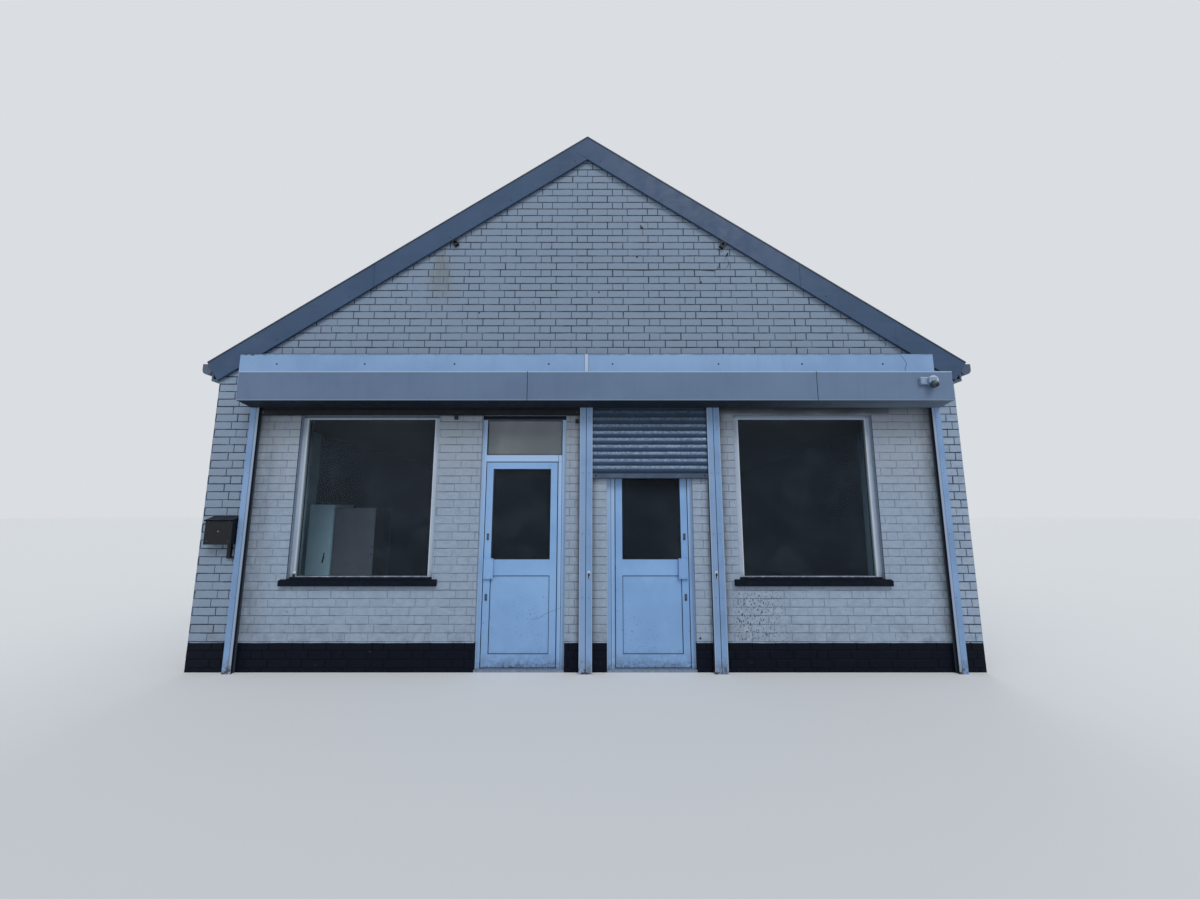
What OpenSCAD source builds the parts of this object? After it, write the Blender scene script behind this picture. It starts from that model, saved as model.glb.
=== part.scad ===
// Single-storey shop building with a brick gable front, two doors between two shop windows,
// a sign box that hides three roller shutters, and a pitched roof.
// X runs along the front to the viewer's right, Y runs from the front to the rear, Z is up.
// The origin is at ground level in the middle of the walls' plan.

/* [Walls] */
// Width of the front wall
front_width = 8240; // [8000:10:9000]
// Depth of the building over its walls
building_depth = 9000; // [6000:100:12000]
// Thickness of the brick walls
wall_thickness = 230; // [215:5:330]
// Thickness of the floor above the ground
floor_thickness = 22; // [15:1:30]
// Height of the heads of the doorways and windows
opening_head = 2700; // [2600:10:2740]
// Height of the lintel beam
lintel_height = 200; // [150:10:300]
// Length of the lintel that rests on the wall past the windows
lintel_bearing = 200; // [100:10:300]
// Height of the ceiling above the opening heads
ceiling_rise = 60; // [40:5:150]
// Thickness of the ceiling boards
ceiling_thickness = 20; // [12:1:30]

/* [Openings] */
// Half width of the pier between the doors
centre_pier_half = 222; // [200:1:240]
// Width of each doorway
doorway_width = 931; // [900:1:960]
// Width of the pier between a doorway and its window
side_pier_width = 472; // [440:1:520]
// Width of the wall between a shop window and the side wall's face
outer_pier_width = 955; // [900:5:1050]
// Height of the brickwork under the window sills
apron_height = 862; // [700:2:900]

/* [Roof] */
// Height of the side walls above the opening heads
eaves_rise = 502; // [450:2:600]
// Slope of the roof
roof_pitch = 33.7; // [30:0.1:36]
// Thickness of the roof deck with its rafters, square to the slope
deck_thickness = 138; // [120:2:160]
// Thickness of the roof covering, square to the slope
covering_thickness = 12; // [8:1:20]
// Distance from the side walls to the edge of the covering
eaves_overhang = 125; // [120:1:150]
// Width of each wing of the ridge capping
ridge_wing = 150; // [100:5:200]
// Thickness of the ridge capping
ridge_thickness = 12; // [8:1:18]
// Radius of the roll on the ridge capping
ridge_roll_radius = 25; // [15:1:30]

/* [Barge boards] */
// Height of a barge board, square to the slope
barge_height = 238; // [200:2:260]
// Thickness of a barge board
barge_thickness = 25; // [18:1:30]
// Thickness of the packing behind the barge boards
barge_packing = 20; // [10:1:30]
// Width left bare of packing along the lower edge of a barge board
barge_drip = 30; // [20:1:50]
// Distance along the front from the apex to the butt joint of two boards
barge_joint_place = 2455; // [2000:5:3000]
// Gap at the butt joint of two boards
board_joint_gap = 3; // [2:0.5:5]
// Distance that the covering reaches past the face of the barge boards
verge_overhang = 5; // [0:1:15]

/* [Eaves] */
// Thickness of the fascia and soffit boards
eaves_board_thickness = 20; // [15:1:25]
// Height of the fascia below the covering
fascia_height = 230; // [200:5:260]
// Distance from the side wall to the outer face of the fascia
fascia_reach = 80; // [60:1:90]
// Width of the gutters
gutter_width = 115; // [100:1:125]
// Height of the gutters
gutter_height = 120; // [90:1:130]
// Wall thickness of the gutters
gutter_wall = 3; // [2:0.5:4]
// Gap below the covering's edge to the gutter's rim
gutter_rim_gap = 4; // [2:1:10]
// Radius of the downpipes
downpipe_radius = 34; // [30:1:40]
// Length of the straight neck under a gutter
downpipe_neck = 60; // [40:5:100]
// Drop of the downpipes' offset beyond its run
downpipe_offset_drop = 90; // [50:5:150]
// Thickness of the collars round the downpipes
pipe_collar = 4; // [3:0.5:6]
// Height of a pipe bracket
pipe_bracket_height = 30; // [20:1:40]
// Width of a pipe bracket's foot
pipe_bracket_width = 40; // [30:1:60]
// Height of the lowest pipe bracket above the ground
pipe_bracket_low = 600; // [400:10:900]
// Distance from the downpipes' offset down to the highest pipe bracket
pipe_bracket_drop = 180; // [100:5:300]
// Gap behind the downpipes
downpipe_stand_off = 25; // [15:1:40]
// Distance from the rear corners to the downpipes
downpipe_inset = 150; // [120:5:300]
// Height of the downpipe shoes above the ground
downpipe_shoe_height = 90; // [60:5:150]

/* [Name board] */
// Width of the wall left bare on each side of the board over the sign box
name_board_inset = 255; // [220:5:300]
// Height of the board above the top of the sign box
name_board_rise = 271; // [240:1:280]
// Distance that the board runs down behind the sign box
name_board_overlap = 29; // [20:1:40]
// Thickness of the board
name_board_thickness = 25; // [18:1:30]
// Width of the strip that covers the joint of the board
cover_strip_width = 40; // [30:1:60]
// Thickness of the strip
cover_strip_thickness = 5; // [3:1:8]
// Number of upright battens behind the board
batten_count = 9; // [5:1:12]
// Width of a batten
batten_width = 45; // [35:1:60]
// Distance from the board's ends to the middle of the last battens
batten_inset = 465; // [200:5:600]
// Distance from the board's top down to the battens
batten_drop = 5; // [3:1:10]

/* [Sign box] */
// Width of the wall left bare on the left of the sign box
left_bare_width = 430; // [380:5:480]
// Width of the wall left bare on the right of the sign box
right_bare_width = 230; // [180:5:300]
// Height of the sign box above the opening heads
sign_rise = 97; // [80:1:120]
// Height of the sign box
sign_height = 317; // [300:1:330]
// Distance from the wall to the face of the sign box
sign_reach = 280; // [260:2:300]
// Thickness of the sheet of the sign box
sign_sheet = 4; // [2:0.5:6]
// Distance from the middle of the front to the left joint of the sign face
sign_joint_left = 620; // [500:10:800]
// Distance from the middle of the front to the right joint of the sign face
sign_joint_right = 2450; // [2000:10:2600]
// Distance from the wall to the edge of the sign box's underside
sign_slot = 100; // [90:1:120]

/* [Roller shutters] */
// Depth of the shutter guides
guide_depth = 60; // [50:1:70]
// Distance that the guides run up into the sign box
guide_rise = 40; // [35:1:60]
// Gap between the end of a curtain and the bottom of its groove
curtain_end_gap = 6; // [4:0.5:8]
// Width of a single guide
guide_width = 90; // [80:1:100]
// Width of the double guides
double_guide_width = 136; // [125:1:150]
// Gap between the two channels of a double guide
channel_gap = 6; // [3:1:10]
// Thickness of the back that joins the two channels
channel_back = 20; // [15:1:30]
// Depth of the groove of a guide
groove_depth = 54; // [48:1:58]
// Middle of the curtains in front of the wall
curtain_place = 30; // [28:1:32]
// Height of one slat
slat_pitch = 77; // [70:1:80]
// Bow of a slat
slat_bow = 6; // [4:0.5:7]
// Thickness of a slat's sheet
slat_sheet = 1.5; // [1:0.1:2]
// Radius of the bead along the lower edge of a slat
slat_bead_radius = 3; // [2.5:0.1:3.5]
// Gap between the hook and the bead of two slats
slat_play = 0.6; // [0.4:0.1:0.9]
// Height of a bottom rail
bottom_rail_height = 65; // [50:1:80]
// Depth of a bottom rail
bottom_rail_depth = 20; // [18:1:24]
// Gap on each side of a bottom rail in the groove of its guide
groove_clearance = 0.3; // [0.2:0.1:1]
// Distance from the sign box down to the door shutter's lower edge as it stands
door_shutter_drop = 807; // [400:1:1200]
// Distance from the sign box down to the left shutter's lower edge as it stands
left_shutter_drop = 107; // [90:1:400]
// Height of the right shutter's lower edge in the sign box as it stands
right_shutter_lift = 8; // [6:1:20]
// Radius of the shutters' barrels
barrel_radius = 50; // [40:1:60]
// Thickness that one turn of curtain takes up on a barrel
turn_thickness = 9; // [8:0.5:10]
// Thickness of the plates that carry the barrels
end_plate_thickness = 5; // [4:0.5:8]
// Height of the bullet locks of the guides
bullet_lock_height = 983; // [900:1:1100]
// Distance from the door shutter's side of the centre guide to the middle of its bullet lock
centre_lock_inset = 34; // [25:1:50]
// Distance from the door shutter's side of the side guide to the middle of its bullet lock
side_lock_inset = 43; // [25:1:50]
// Width of a bullet lock's plate
bullet_plate_width = 30; // [24:1:34]
// Distance between the round ends of a bullet lock's plate
bullet_plate_span = 50; // [30:1:60]
// Thickness of a bullet lock's plate
bullet_plate_thickness = 8; // [5:0.5:10]
// Radius of a bullet lock's barrel
bullet_barrel_radius = 9; // [6:0.5:11]
// Distance from a guide to the face of its bullet lock
bullet_barrel_reach = 16; // [12:1:20]

/* [Window frames] */
// Distance from the wall face to the frames
frame_recess = 52; // [45:1:80]
// Depth of the window and door frames
frame_depth = 50; // [45:1:60]
// Width of a window frame's sides
window_side = 68; // [50:1:80]
// Height of a window frame's head
window_head = 40; // [30:1:50]
// Height of a window frame's bottom rail
window_rail = 25; // [20:1:50]
// Thickness of the glass
glass_thickness = 6; // [4:1:8]
// Depth to which glass and panels sit in their frames
glazing_depth = 12; // [8:1:14]
// Gap between a pane and its groove
glazing_gap = 0.3; // [0.2:0.1:0.5]
// Height of the sills
sill_height = 68; // [60:1:80]
// Distance that the sills reach past the wall face
sill_reach = 45; // [35:1:60]
// Distance that the sills run past each side of a window
sill_horn = 55; // [40:1:70]
// Fall of the top of a sill over its nose
sill_fall = 12; // [8:1:20]

/* [Doors] */
// Width of a door frame's lock side
lock_side = 48; // [45:1:55]
// Width of a door frame's hinge side
hinge_side = 46; // [40:1:52]
// Width of the set-back strip between the hinge side and the leaf
hinge_strip = 45; // [40:1:48]
// Distance that the strip is set back
hinge_strip_step = 5; // [3:0.5:8]
// Height of a door frame's head
frame_head = 45; // [40:1:55]
// Height of the underside of the transom
transom_bottom = 2186; // [2150:2:2200]
// Height of the transom
transom_height = 71; // [60:1:80]
// Gap between the leaf and the frame's hinge side
hinge_gap = 5; // [5:0.5:7]
// Gap between the leaf and the frame's lock side
lock_gap = 8; // [8:0.5:10]
// Gap below and above the leaf
leaf_gap = 10; // [8:0.5:14]
// Distance that the leaf's face is set back from its frame's
leaf_set_back = 2; // [1:0.5:4]
// Width of the leaf's sides
leaf_side = 72; // [60:1:85]
// Height of the leaf's top rail
leaf_top_rail = 71; // [60:1:85]
// Height of the leaf's bottom rail
leaf_bottom_rail = 130; // [100:2:150]
// Height of the underside of the leaf's middle rail
middle_rail_bottom = 961; // [900:1:1000]
// Height of the leaf's middle rail
middle_rail_height = 166; // [140:2:180]
// Thickness of the leaf's lower panel
panel_thickness = 24; // [18:1:28]
// Distance from the leaf's ends to the middle of the outer hinges
hinge_inset = 220; // [150:5:300]
// Radius of the hinge knuckles
knuckle_radius = 7; // [6:0.5:9]
// Radius of the hinge pins
pin_radius = 3; // [2.5:0.1:4]
// Running clearance of the hinge pins
pin_clearance = 0.08; // [0.05:0.01:0.1]
// Length of one hinge knuckle
knuckle_length = 30; // [24:1:40]
// Gap between two knuckles of a hinge
knuckle_gap = 1; // [0.5:0.1:2]
// Width of the guard over the latch
guard_width = 100; // [80:5:120]
// Height of the guard over the latch
guard_height = 209; // [180:1:240]
// Height of the underside of the guard
guard_bottom = 931; // [900:1:960]
// Distance that the guard stands off the leaf
guard_reach = 30; // [20:1:40]
// Distance from the leaf's edge to the guard
guard_inset = 6; // [6:1:12]
// Distance from the leaf's edge to the lock cylinders
lock_inset = 36; // [30:1:40]
// Height of the lower lock cylinder
lower_lock_height = 736; // [700:1:760]
// Height of the upper lock cylinder
upper_lock_height = 1368; // [1340:1:1400]
// Width of the plate round a lock cylinder
lock_plate_width = 24; // [20:1:30]
// Distance between the round ends of a lock's plate
lock_plate_span = 48; // [36:1:60]
// Thickness of a lock's plate
lock_plate_thickness = 5; // [3:0.5:8]
// Width of a lock cylinder
lock_barrel_width = 16; // [12:1:18]
// Distance between the round ends of a lock cylinder
lock_barrel_span = 18; // [12:1:24]
// Distance from the leaf to the face of a lock cylinder
lock_barrel_reach = 12; // [10:1:16]
// Width of a hinge flap
flap_width = 30; // [24:1:36]
// Thickness of a hinge flap
flap_thickness = 3; // [2:0.5:4]

/* [Fittings] */
// Width of the wall box on the left pier
wall_box_width = 285; // [260:5:300]
// Height of the wall box
wall_box_height = 293; // [270:1:310]
// Depth of the wall box
wall_box_depth = 120; // [100:5:140]
// Height of the underside of the wall box
wall_box_bottom = 1295; // [1250:5:1350]
// Gap between the wall box and the left guide
wall_box_gap = 10; // [5:1:20]
// Fall of the wall box's lid
wall_box_lid_fall = 40; // [20:1:60]
// Width of the clip under the wall box
clip_width = 98; // [85:1:120]
// Height of the clip
clip_height = 150; // [100:1:180]
// Depth of the clip
clip_depth = 30; // [20:1:40]
// Distance from the wall box's right side to the clip
clip_inset = 2; // [0:1:40]
// Width of the slot in the clip
clip_slot = 40; // [20:1:50]
// Width of the clip on the right of its slot
clip_side = 20; // [12:1:30]
// Height of the clip under its slot
clip_foot = 14; // [10:1:30]
// Radius of the security camera's ball
camera_radius = 40; // [30:1:45]
// Distance from the sign box's right end to the camera
camera_inset = 240; // [200:5:400]
// Height of the camera above the underside of the sign box
camera_rise = 205; // [150:1:240]
// Thickness of the camera's hood round its ball
camera_collar = 11; // [8:1:16]
// Length of the camera's hood
camera_foot = 55; // [40:1:80]
// Distance that the ball hangs below the middle of its hood
camera_drop = 45; // [20:1:50]
// Width of the junction box beside the camera
junction_width = 70; // [50:1:90]
// Height of the junction box
junction_height = 77; // [50:1:90]
// Depth of the junction box
junction_depth = 30; // [20:1:40]
// Distance from the middle of the front to the left gable bracket
left_bracket_place = 1565; // [1400:5:1800]
// Distance from the middle of the front to the right gable bracket
right_bracket_place = 1605; // [1400:5:1800]
// Width of a gable bracket, along the slope
gable_bracket_width = 56; // [40:1:70]
// Height of a gable bracket, square to the slope
gable_bracket_height = 72; // [50:1:90]
// Wall thickness of a gable bracket
gable_bracket_wall = 14; // [6:1:18]
// Width of a small bracket
bracket_width = 30; // [20:1:40]
// Height of a small bracket
bracket_height = 40; // [30:1:50]
// Distance that a small bracket reaches in front of the wall
bracket_reach = 40; // [30:1:60]
// Gap between a bracket and the board or shutter over it
bracket_gap = 4; // [3:1:20]
// Distance from the door bay's guide to the bracket beside it
guide_bracket_gap = 22; // [17:1:40]
// Distance from the left doorway to the bracket over the left pier
pier_bracket_inset = 287; // [100:1:400]
// Distance from the middle of the front to the cable hook
hook_place = 1630; // [1400:5:1800]
// Distance from the barge board down to the cable hook
hook_drop = 142; // [60:1:300]
// Radius of the cable hook
hook_pin_radius = 8; // [5:0.5:12]
// Length of the cable hook
hook_pin_length = 60; // [40:1:90]

/* [Cabinets] */
// Width of the left cabinet
left_cabinet_width = 311; // [250:1:400]
// Width of the right cabinet
right_cabinet_width = 530; // [400:10:600]
// Height of the left cabinet
left_cabinet_height = 1713; // [1500:1:1900]
// Height of the right cabinet
right_cabinet_height = 1672; // [1500:1:1900]
// Depth of the cabinets
cabinet_depth = 450; // [400:10:500]
// Distance from the left wall to the left cabinet
cabinet_inset = 269; // [100:1:400]
// Gap between the cabinets
cabinet_gap = 20; // [5:1:50]
// Distance from the front wall to the cabinets
cabinet_stand_off = 800; // [600:10:1200]

/* [Fits] */
// Distance between pieces that seat against each other
seat = 0.3; // [0.1:0.1:0.4]

/* [Hidden] */
$fn = 32;
// Overlap that makes a cut run past the surface it opens
cut = 1;

// Plan
half_width = front_width / 2;
front_y = -building_depth / 2;
rear_y = building_depth / 2;
inner_half = half_width - wall_thickness;
inner_front_y = front_y + wall_thickness;
inner_rear_y = rear_y - wall_thickness;
door_inner = centre_pier_half;
door_outer = door_inner + doorway_width;
window_inner = door_outer + side_pier_width;
window_outer = half_width - outer_pier_width;
window_sill_top = apron_height + sill_height;
lintel_half = window_outer + lintel_bearing;
ceiling_bottom = opening_head + ceiling_rise;

// Roof lines: a slope square to a thickness is that thickness over the cosine when upright
upright = 1 / cos(roof_pitch);
fall = tan(roof_pitch);
covering_upright = covering_thickness * upright;
deck_upright = deck_thickness * upright;
roof_edge = half_width + eaves_overhang;
fascia_outer = half_width + fascia_reach;
fascia_inner = fascia_outer - eaves_board_thickness;
eaves_height = opening_head + eaves_rise;
apex_height = eaves_height + seat + deck_upright + covering_upright + half_width * fall;
barge_top_apex = apex_height - covering_upright;
barge_upright = barge_height * upright;
barge_face = barge_packing + barge_thickness;

function covering_top(x) = apex_height - abs(x) * fall;
function deck_top(x) = covering_top(x) - covering_upright;
function deck_bottom(x) = deck_top(x) - deck_upright;
function barge_bottom(x) = deck_top(x) - seat - barge_upright;

// Eaves
gutter_rim = deck_top(roof_edge) - gutter_rim_gap;
gutter_bottom = gutter_rim - gutter_height;
gutter_inner_x = fascia_outer + seat;
gutter_radius = gutter_width / 2;
gutter_middle_x = gutter_inner_x + gutter_radius;
downpipe_x = half_width + downpipe_stand_off + downpipe_radius;
downpipe_y = rear_y - downpipe_inset;
downpipe_top = gutter_bottom - seat;
offset_top = downpipe_top - downpipe_neck;
offset_bottom = offset_top - (gutter_middle_x - downpipe_x) - downpipe_offset_drop;
pipe_bracket_high = offset_bottom - pipe_bracket_drop;

// Sign box and the board over it
sign_left = half_width - left_bare_width;
sign_right = half_width - right_bare_width;
sign_bottom = opening_head + sign_rise;
sign_top = sign_bottom + sign_height;
board_packing = barge_face + seat;
board_face = board_packing + name_board_thickness;
board_half = half_width - name_board_inset;
board_bottom = sign_top - name_board_overlap;
board_top = sign_top + name_board_rise;

// Shutters: bays run between the grooves of the guides
left_guide_x = -sign_left;
centre_guide_x = -double_guide_width / 2;
side_guide_x = door_outer + (side_pier_width - double_guide_width) / 2;
right_guide_x = sign_right - guide_width;
left_bay = [left_guide_x + guide_width, centre_guide_x];
door_bay = [centre_guide_x + double_guide_width, side_guide_x];
right_bay = [side_guide_x + double_guide_width, right_guide_x];
curtain_run_in = groove_depth - curtain_end_gap;
guide_groove = bottom_rail_depth + 2 * groove_clearance;
guide_top = sign_bottom + guide_rise;
door_shutter_bottom = sign_bottom - door_shutter_drop;
left_shutter_bottom = sign_bottom - left_shutter_drop;
right_shutter_bottom = sign_bottom + right_shutter_lift;
barrel_height = sign_bottom + sign_height / 2;
plate_places = [
    left_guide_x + sign_sheet + seat, centre_guide_x + (double_guide_width - end_plate_thickness) / 2,
    side_guide_x + (double_guide_width - end_plate_thickness) / 2,
    sign_right - sign_sheet - seat - end_plate_thickness
];
hook_inner = slat_bead_radius + slat_play;
hook_radius = hook_inner + slat_sheet;
slat_face = slat_bead_radius * cos(30) + slat_bow;

// Doors
hinge_face_x = door_inner + hinge_side + hinge_strip;
leaf_hinge_x = hinge_face_x + hinge_gap;
leaf_lock_x = door_outer - lock_side - lock_gap;
leaf_bottom = floor_thickness + leaf_gap;
leaf_top = transom_bottom - leaf_gap;
leaf_outer = frame_recess + leaf_set_back;
leaf_inner = frame_recess + frame_depth;
leaf_thickness = leaf_inner - leaf_outer;
hinge_axis_x = hinge_face_x + hinge_gap / 2;
hinge_axis_depth = leaf_inner + knuckle_radius;
hinge_heights = [leaf_bottom + hinge_inset, (leaf_bottom + leaf_top) / 2, leaf_top - hinge_inset];
knuckle_pitch = knuckle_length + knuckle_gap;

// Places a profile drawn as [distance in front of the wall, height] along X from low to high
module along_front(low, high) {
    translate([low, front_y, 0])
        rotate([90, 0, 90])
            linear_extrude(high - low)
                mirror([1, 0, 0])
                    children();
}

// Box in front of the front wall: x, distance in front of the wall and height, each low and high
module front_box(x, ahead, z) {
    translate([x[0], front_y - ahead[1], z[0]])
        cube([x[1] - x[0], ahead[1] - ahead[0], z[1] - z[0]]);
}

// Places a profile drawn as [x, height] from low to high along Y
module along_depth(low, high) {
    translate([0, high, 0])
        rotate([90, 0, 0])
            linear_extrude(high - low)
                children();
}

// Shows children as drawn for the right side, or mirrored for the left side
module on_side(side) {
    mirror([side < 0 ? 1 : 0, 0, 0])
        children();
}

module floor_slab() {
    color("dimgray")
        translate([-inner_half + seat, inner_front_y + seat, 0])
            cube([2 * (inner_half - seat), inner_rear_y - inner_front_y - 2 * seat, floor_thickness]);
}

// Front wall beside the doorways, with the notch of the shop window
module front_side_wall() {
    color("gainsboro")
        along_depth(front_y, inner_front_y)
            polygon([
                [door_outer, 0], [half_width, 0], [half_width, opening_head],
                [window_outer, opening_head], [window_outer, apron_height],
                [window_inner, apron_height], [window_inner, opening_head],
                [door_outer, opening_head]
            ]);
}

module front_wall_left() {
    on_side(-1) front_side_wall();
}

module front_wall_right() {
    on_side(1) front_side_wall();
}

module front_wall_centre() {
    color("gainsboro")
        translate([-door_inner, front_y, 0])
            cube([2 * door_inner, wall_thickness, opening_head]);
}

module front_lintel() {
    color("darkgray")
        translate([-lintel_half, front_y, opening_head])
            cube([2 * lintel_half, wall_thickness, lintel_height]);
}

// Gable over the openings, notched for the lintel
module front_gable() {
    base = opening_head;
    color("gainsboro")
        along_depth(front_y, inner_front_y)
            polygon([
                [-half_width, base], [-lintel_half, base], [-lintel_half, base + lintel_height],
                [lintel_half, base + lintel_height], [lintel_half, base], [half_width, base],
                [half_width, eaves_height], [0, deck_bottom(0) - seat], [-half_width, eaves_height]
            ]);
}

// Side wall with its top cut to the slope of the roof
module side_wall() {
    color("gainsboro")
        along_depth(inner_front_y, inner_rear_y)
            polygon([
                [inner_half, 0], [half_width, 0],
                [half_width, eaves_height], [inner_half, deck_bottom(inner_half) - seat]
            ]);
}

module left_wall() {
    on_side(-1) side_wall();
}

module right_wall() {
    on_side(1) side_wall();
}

module rear_wall() {
    color("gainsboro")
        along_depth(inner_rear_y, rear_y)
            polygon([
                [-half_width, 0], [half_width, 0],
                [half_width, eaves_height], [0, deck_bottom(0) - seat], [-half_width, eaves_height]
            ]);
}

module ceiling() {
    color("whitesmoke")
        translate([-inner_half + seat, inner_front_y + seat, ceiling_bottom])
            cube([2 * (inner_half - seat), inner_rear_y - inner_front_y - 2 * seat, ceiling_thickness]);
}

// One slope: the deck between the barge boards, and the covering over them
module roof_slope() {
    middle = seat / 2;
    deck_end = fascia_inner - seat;
    color("darkslategray") {
        along_depth(front_y - barge_packing + seat, rear_y + barge_packing - seat)
            polygon([
                [middle, deck_bottom(middle)], [deck_end, deck_bottom(deck_end)],
                [deck_end, deck_top(deck_end) + cut], [middle, deck_top(middle) + cut]
            ]);
        along_depth(front_y - barge_face - verge_overhang, rear_y + barge_face + verge_overhang)
            polygon([
                [middle, deck_top(middle)], [roof_edge, deck_top(roof_edge)],
                [roof_edge, covering_top(roof_edge)], [middle, covering_top(middle)]
            ]);
    }
}

module left_roof_slope() {
    on_side(-1) roof_slope();
}

module right_roof_slope() {
    on_side(1) roof_slope();
}

// Capping with two wings and a roll along its top
module ridge_capping() {
    wing_run = ridge_wing * cos(roof_pitch);
    under = apex_height + seat;
    top = under + ridge_thickness * upright;
    color("dimgray")
        along_depth(front_y, rear_y)
            union() {
                polygon([
                    [-wing_run, under - wing_run * fall], [0, under], [wing_run, under - wing_run * fall],
                    [wing_run, top - wing_run * fall], [0, top], [-wing_run, top - wing_run * fall]
                ]);
                intersection() {
                    translate([0, top])
                        circle(r = ridge_roll_radius);
                    translate([-ridge_roll_radius, under + ridge_thickness / 2])
                        square([2 * ridge_roll_radius, 2 * ridge_roll_radius]);
                }
            }
}

// One length of barge board drawn as [x, height] on the right side, from start to end along X,
// square-cut at its lower end and upright at its upper end
module barge_outline(start, end, drop, square_end) {
    end_shift = square_end ? drop * sin(roof_pitch) * cos(roof_pitch) * upright : 0;
    top_start = barge_top_apex - start * fall - seat;
    top_end = barge_top_apex - end * fall - seat;
    polygon([
        [start, top_start], [end, top_end],
        [end - end_shift, top_end - drop * upright + end_shift * fall],
        [start, top_start - drop * upright]
    ]);
}

// Square upper end of the barge board that runs up to the apex from the left, drawn as [x, height]:
// its end reaches into the board on the right side, grown on its end and lower edge
module barge_end(grow) {
    translate([0, barge_top_apex - seat])
        rotate(roof_pitch)
            translate([-barge_height, -barge_height - grow])
                square([barge_height + grow, barge_height + grow + cut]);
}

// Upper length of the barge board on the right side: its square end crosses the middle and fits
// over the other side's board, or it is cut to fit under that board's end
module upper_barge(end, over) {
    if (over)
        union() {
            barge_outline(0, end, barge_height, false);
            intersection() {
                mirror([1, 0]) barge_end(0);
                translate([-barge_height, 0])
                    square([barge_height, barge_top_apex - seat]);
            }
        }
    else
        difference() {
            barge_outline(0, end, barge_height, false);
            barge_end(board_joint_gap);
        }
}

// Packing behind one length of barge board, under the deck
module barge_packing_piece(start, end) {
    along_depth(-barge_packing, 0)
        difference() {
            barge_outline(start, end, barge_height - barge_drip, false);
            polygon([
                [start - cut, barge_top_apex + cut],
                [start - cut, deck_bottom(start - cut) - seat],
                [half_width + cut, deck_bottom(half_width + cut) - seat],
                [half_width + cut, barge_top_apex + cut]
            ]);
        }
}

// Both lengths of one barge board with the packing behind them, on the right side
module barge_board(over) {
    joint_low = barge_joint_place - board_joint_gap / 2;
    joint_high = barge_joint_place + board_joint_gap / 2;
    lap = barge_height * sin(roof_pitch) + board_joint_gap;
    along_depth(-barge_face, -barge_packing) {
        upper_barge(joint_low, over);
        barge_outline(joint_high, roof_edge, barge_height, true);
    }
    barge_packing_piece(over ? board_joint_gap / 2 : lap, joint_low);
    barge_packing_piece(joint_high, half_width);
}

module front_right_barge() {
    color("slategray")
        translate([0, front_y, 0])
            barge_board(true);
}

module front_left_barge() {
    color("slategray")
        translate([0, front_y, 0])
            on_side(-1) barge_board(false);
}

module rear_barges() {
    color("slategray")
        translate([0, rear_y, 0])
            rotate([0, 0, 180])
                for (side = [-1, 1])
                    on_side(side) barge_board(side > 0);
}

// Fascia and soffit along both side walls
module eaves_boards() {
    low = deck_top(fascia_outer) - seat - fascia_height;
    reach = barge_packing - seat;
    color("slategray")
        for (side = [-1, 1])
            on_side(side)
                along_depth(front_y - reach, rear_y + reach)
                    polygon([
                        [half_width + seat, low], [fascia_outer, low],
                        [fascia_outer, deck_top(fascia_outer) - seat],
                        [fascia_inner, deck_top(fascia_outer) - seat],
                        [fascia_inner, low + eaves_board_thickness],
                        [half_width + seat, low + eaves_board_thickness]
                    ]);
}

// Outline of a gutter with a round bottom, from its rim down
module gutter_outline(inset) {
    radius = gutter_radius - inset;
    middle = [gutter_middle_x, gutter_bottom + gutter_radius];
    translate(middle)
        circle(r = radius);
    translate([middle[0] - radius, middle[1]])
        square([2 * radius, gutter_rim - middle[1] + (inset > 0 ? cut : 0)]);
}

module gutters() {
    reach = barge_packing - seat;
    low = front_y - reach;
    high = rear_y + reach;
    color("gray")
        for (side = [-1, 1])
            on_side(side)
                difference() {
                    along_depth(low, high)
                        gutter_outline(0);
                    along_depth(low + gutter_wall, high - gutter_wall)
                        gutter_outline(gutter_wall);
                }
}

// Pipe from the gutter's underside to a shoe near the ground, with an offset at its top
module downpipes() {
    color("gray")
        for (side = [-1, 1])
            on_side(side) {
                translate([gutter_middle_x, downpipe_y, offset_top])
                    cylinder(r = downpipe_radius, h = downpipe_neck);
                pipe_between([gutter_middle_x, offset_top], [downpipe_x, offset_bottom]);
                translate([downpipe_x, downpipe_y, downpipe_shoe_height])
                    cylinder(r = downpipe_radius, h = offset_bottom - downpipe_shoe_height);
                for (share = [0, 0.5, 1])
                    pipe_bracket(pipe_bracket_low + share * (pipe_bracket_high - pipe_bracket_low));
            }
}

// Slanted stretch of a downpipe between two [x, height] points, with round joints
module pipe_between(from, to) {
    run = from - to;
    for (end = [from, to])
        translate([end[0], downpipe_y, end[1]])
            sphere(r = downpipe_radius);
    translate([to[0], downpipe_y, to[1]])
        rotate([0, atan2(run[0], run[1]), 0])
            cylinder(r = downpipe_radius, h = norm(run));
}

// Collar round a downpipe with the foot that holds it off the wall
module pipe_bracket(height) {
    translate([downpipe_x, downpipe_y, height])
        cylinder(r = downpipe_radius + pipe_collar, h = pipe_bracket_height);
    translate([half_width + seat, downpipe_y - pipe_bracket_width / 2, height])
        cube([downpipe_stand_off + downpipe_radius / 2, pipe_bracket_width, pipe_bracket_height]);
}

// Two lengths of board on upright battens, with a strip over their joint
module name_board() {
    batten_half = board_half - batten_inset;
    color("whitesmoke") {
        front_box([-board_half, board_half], [board_packing, board_face], [board_bottom, board_top]);
        front_box([-cover_strip_width / 2, cover_strip_width / 2],
            [board_face, board_face + cover_strip_thickness], [sign_top + seat, board_top]);
        for (i = [0 : batten_count - 1])
            translate([2 * batten_half * i / (batten_count - 1) - batten_half, 0, 0])
                front_box([-batten_width / 2, batten_width / 2],
                    [seat, board_packing + cut], [board_bottom, board_top - batten_drop]);
    }
}

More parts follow.
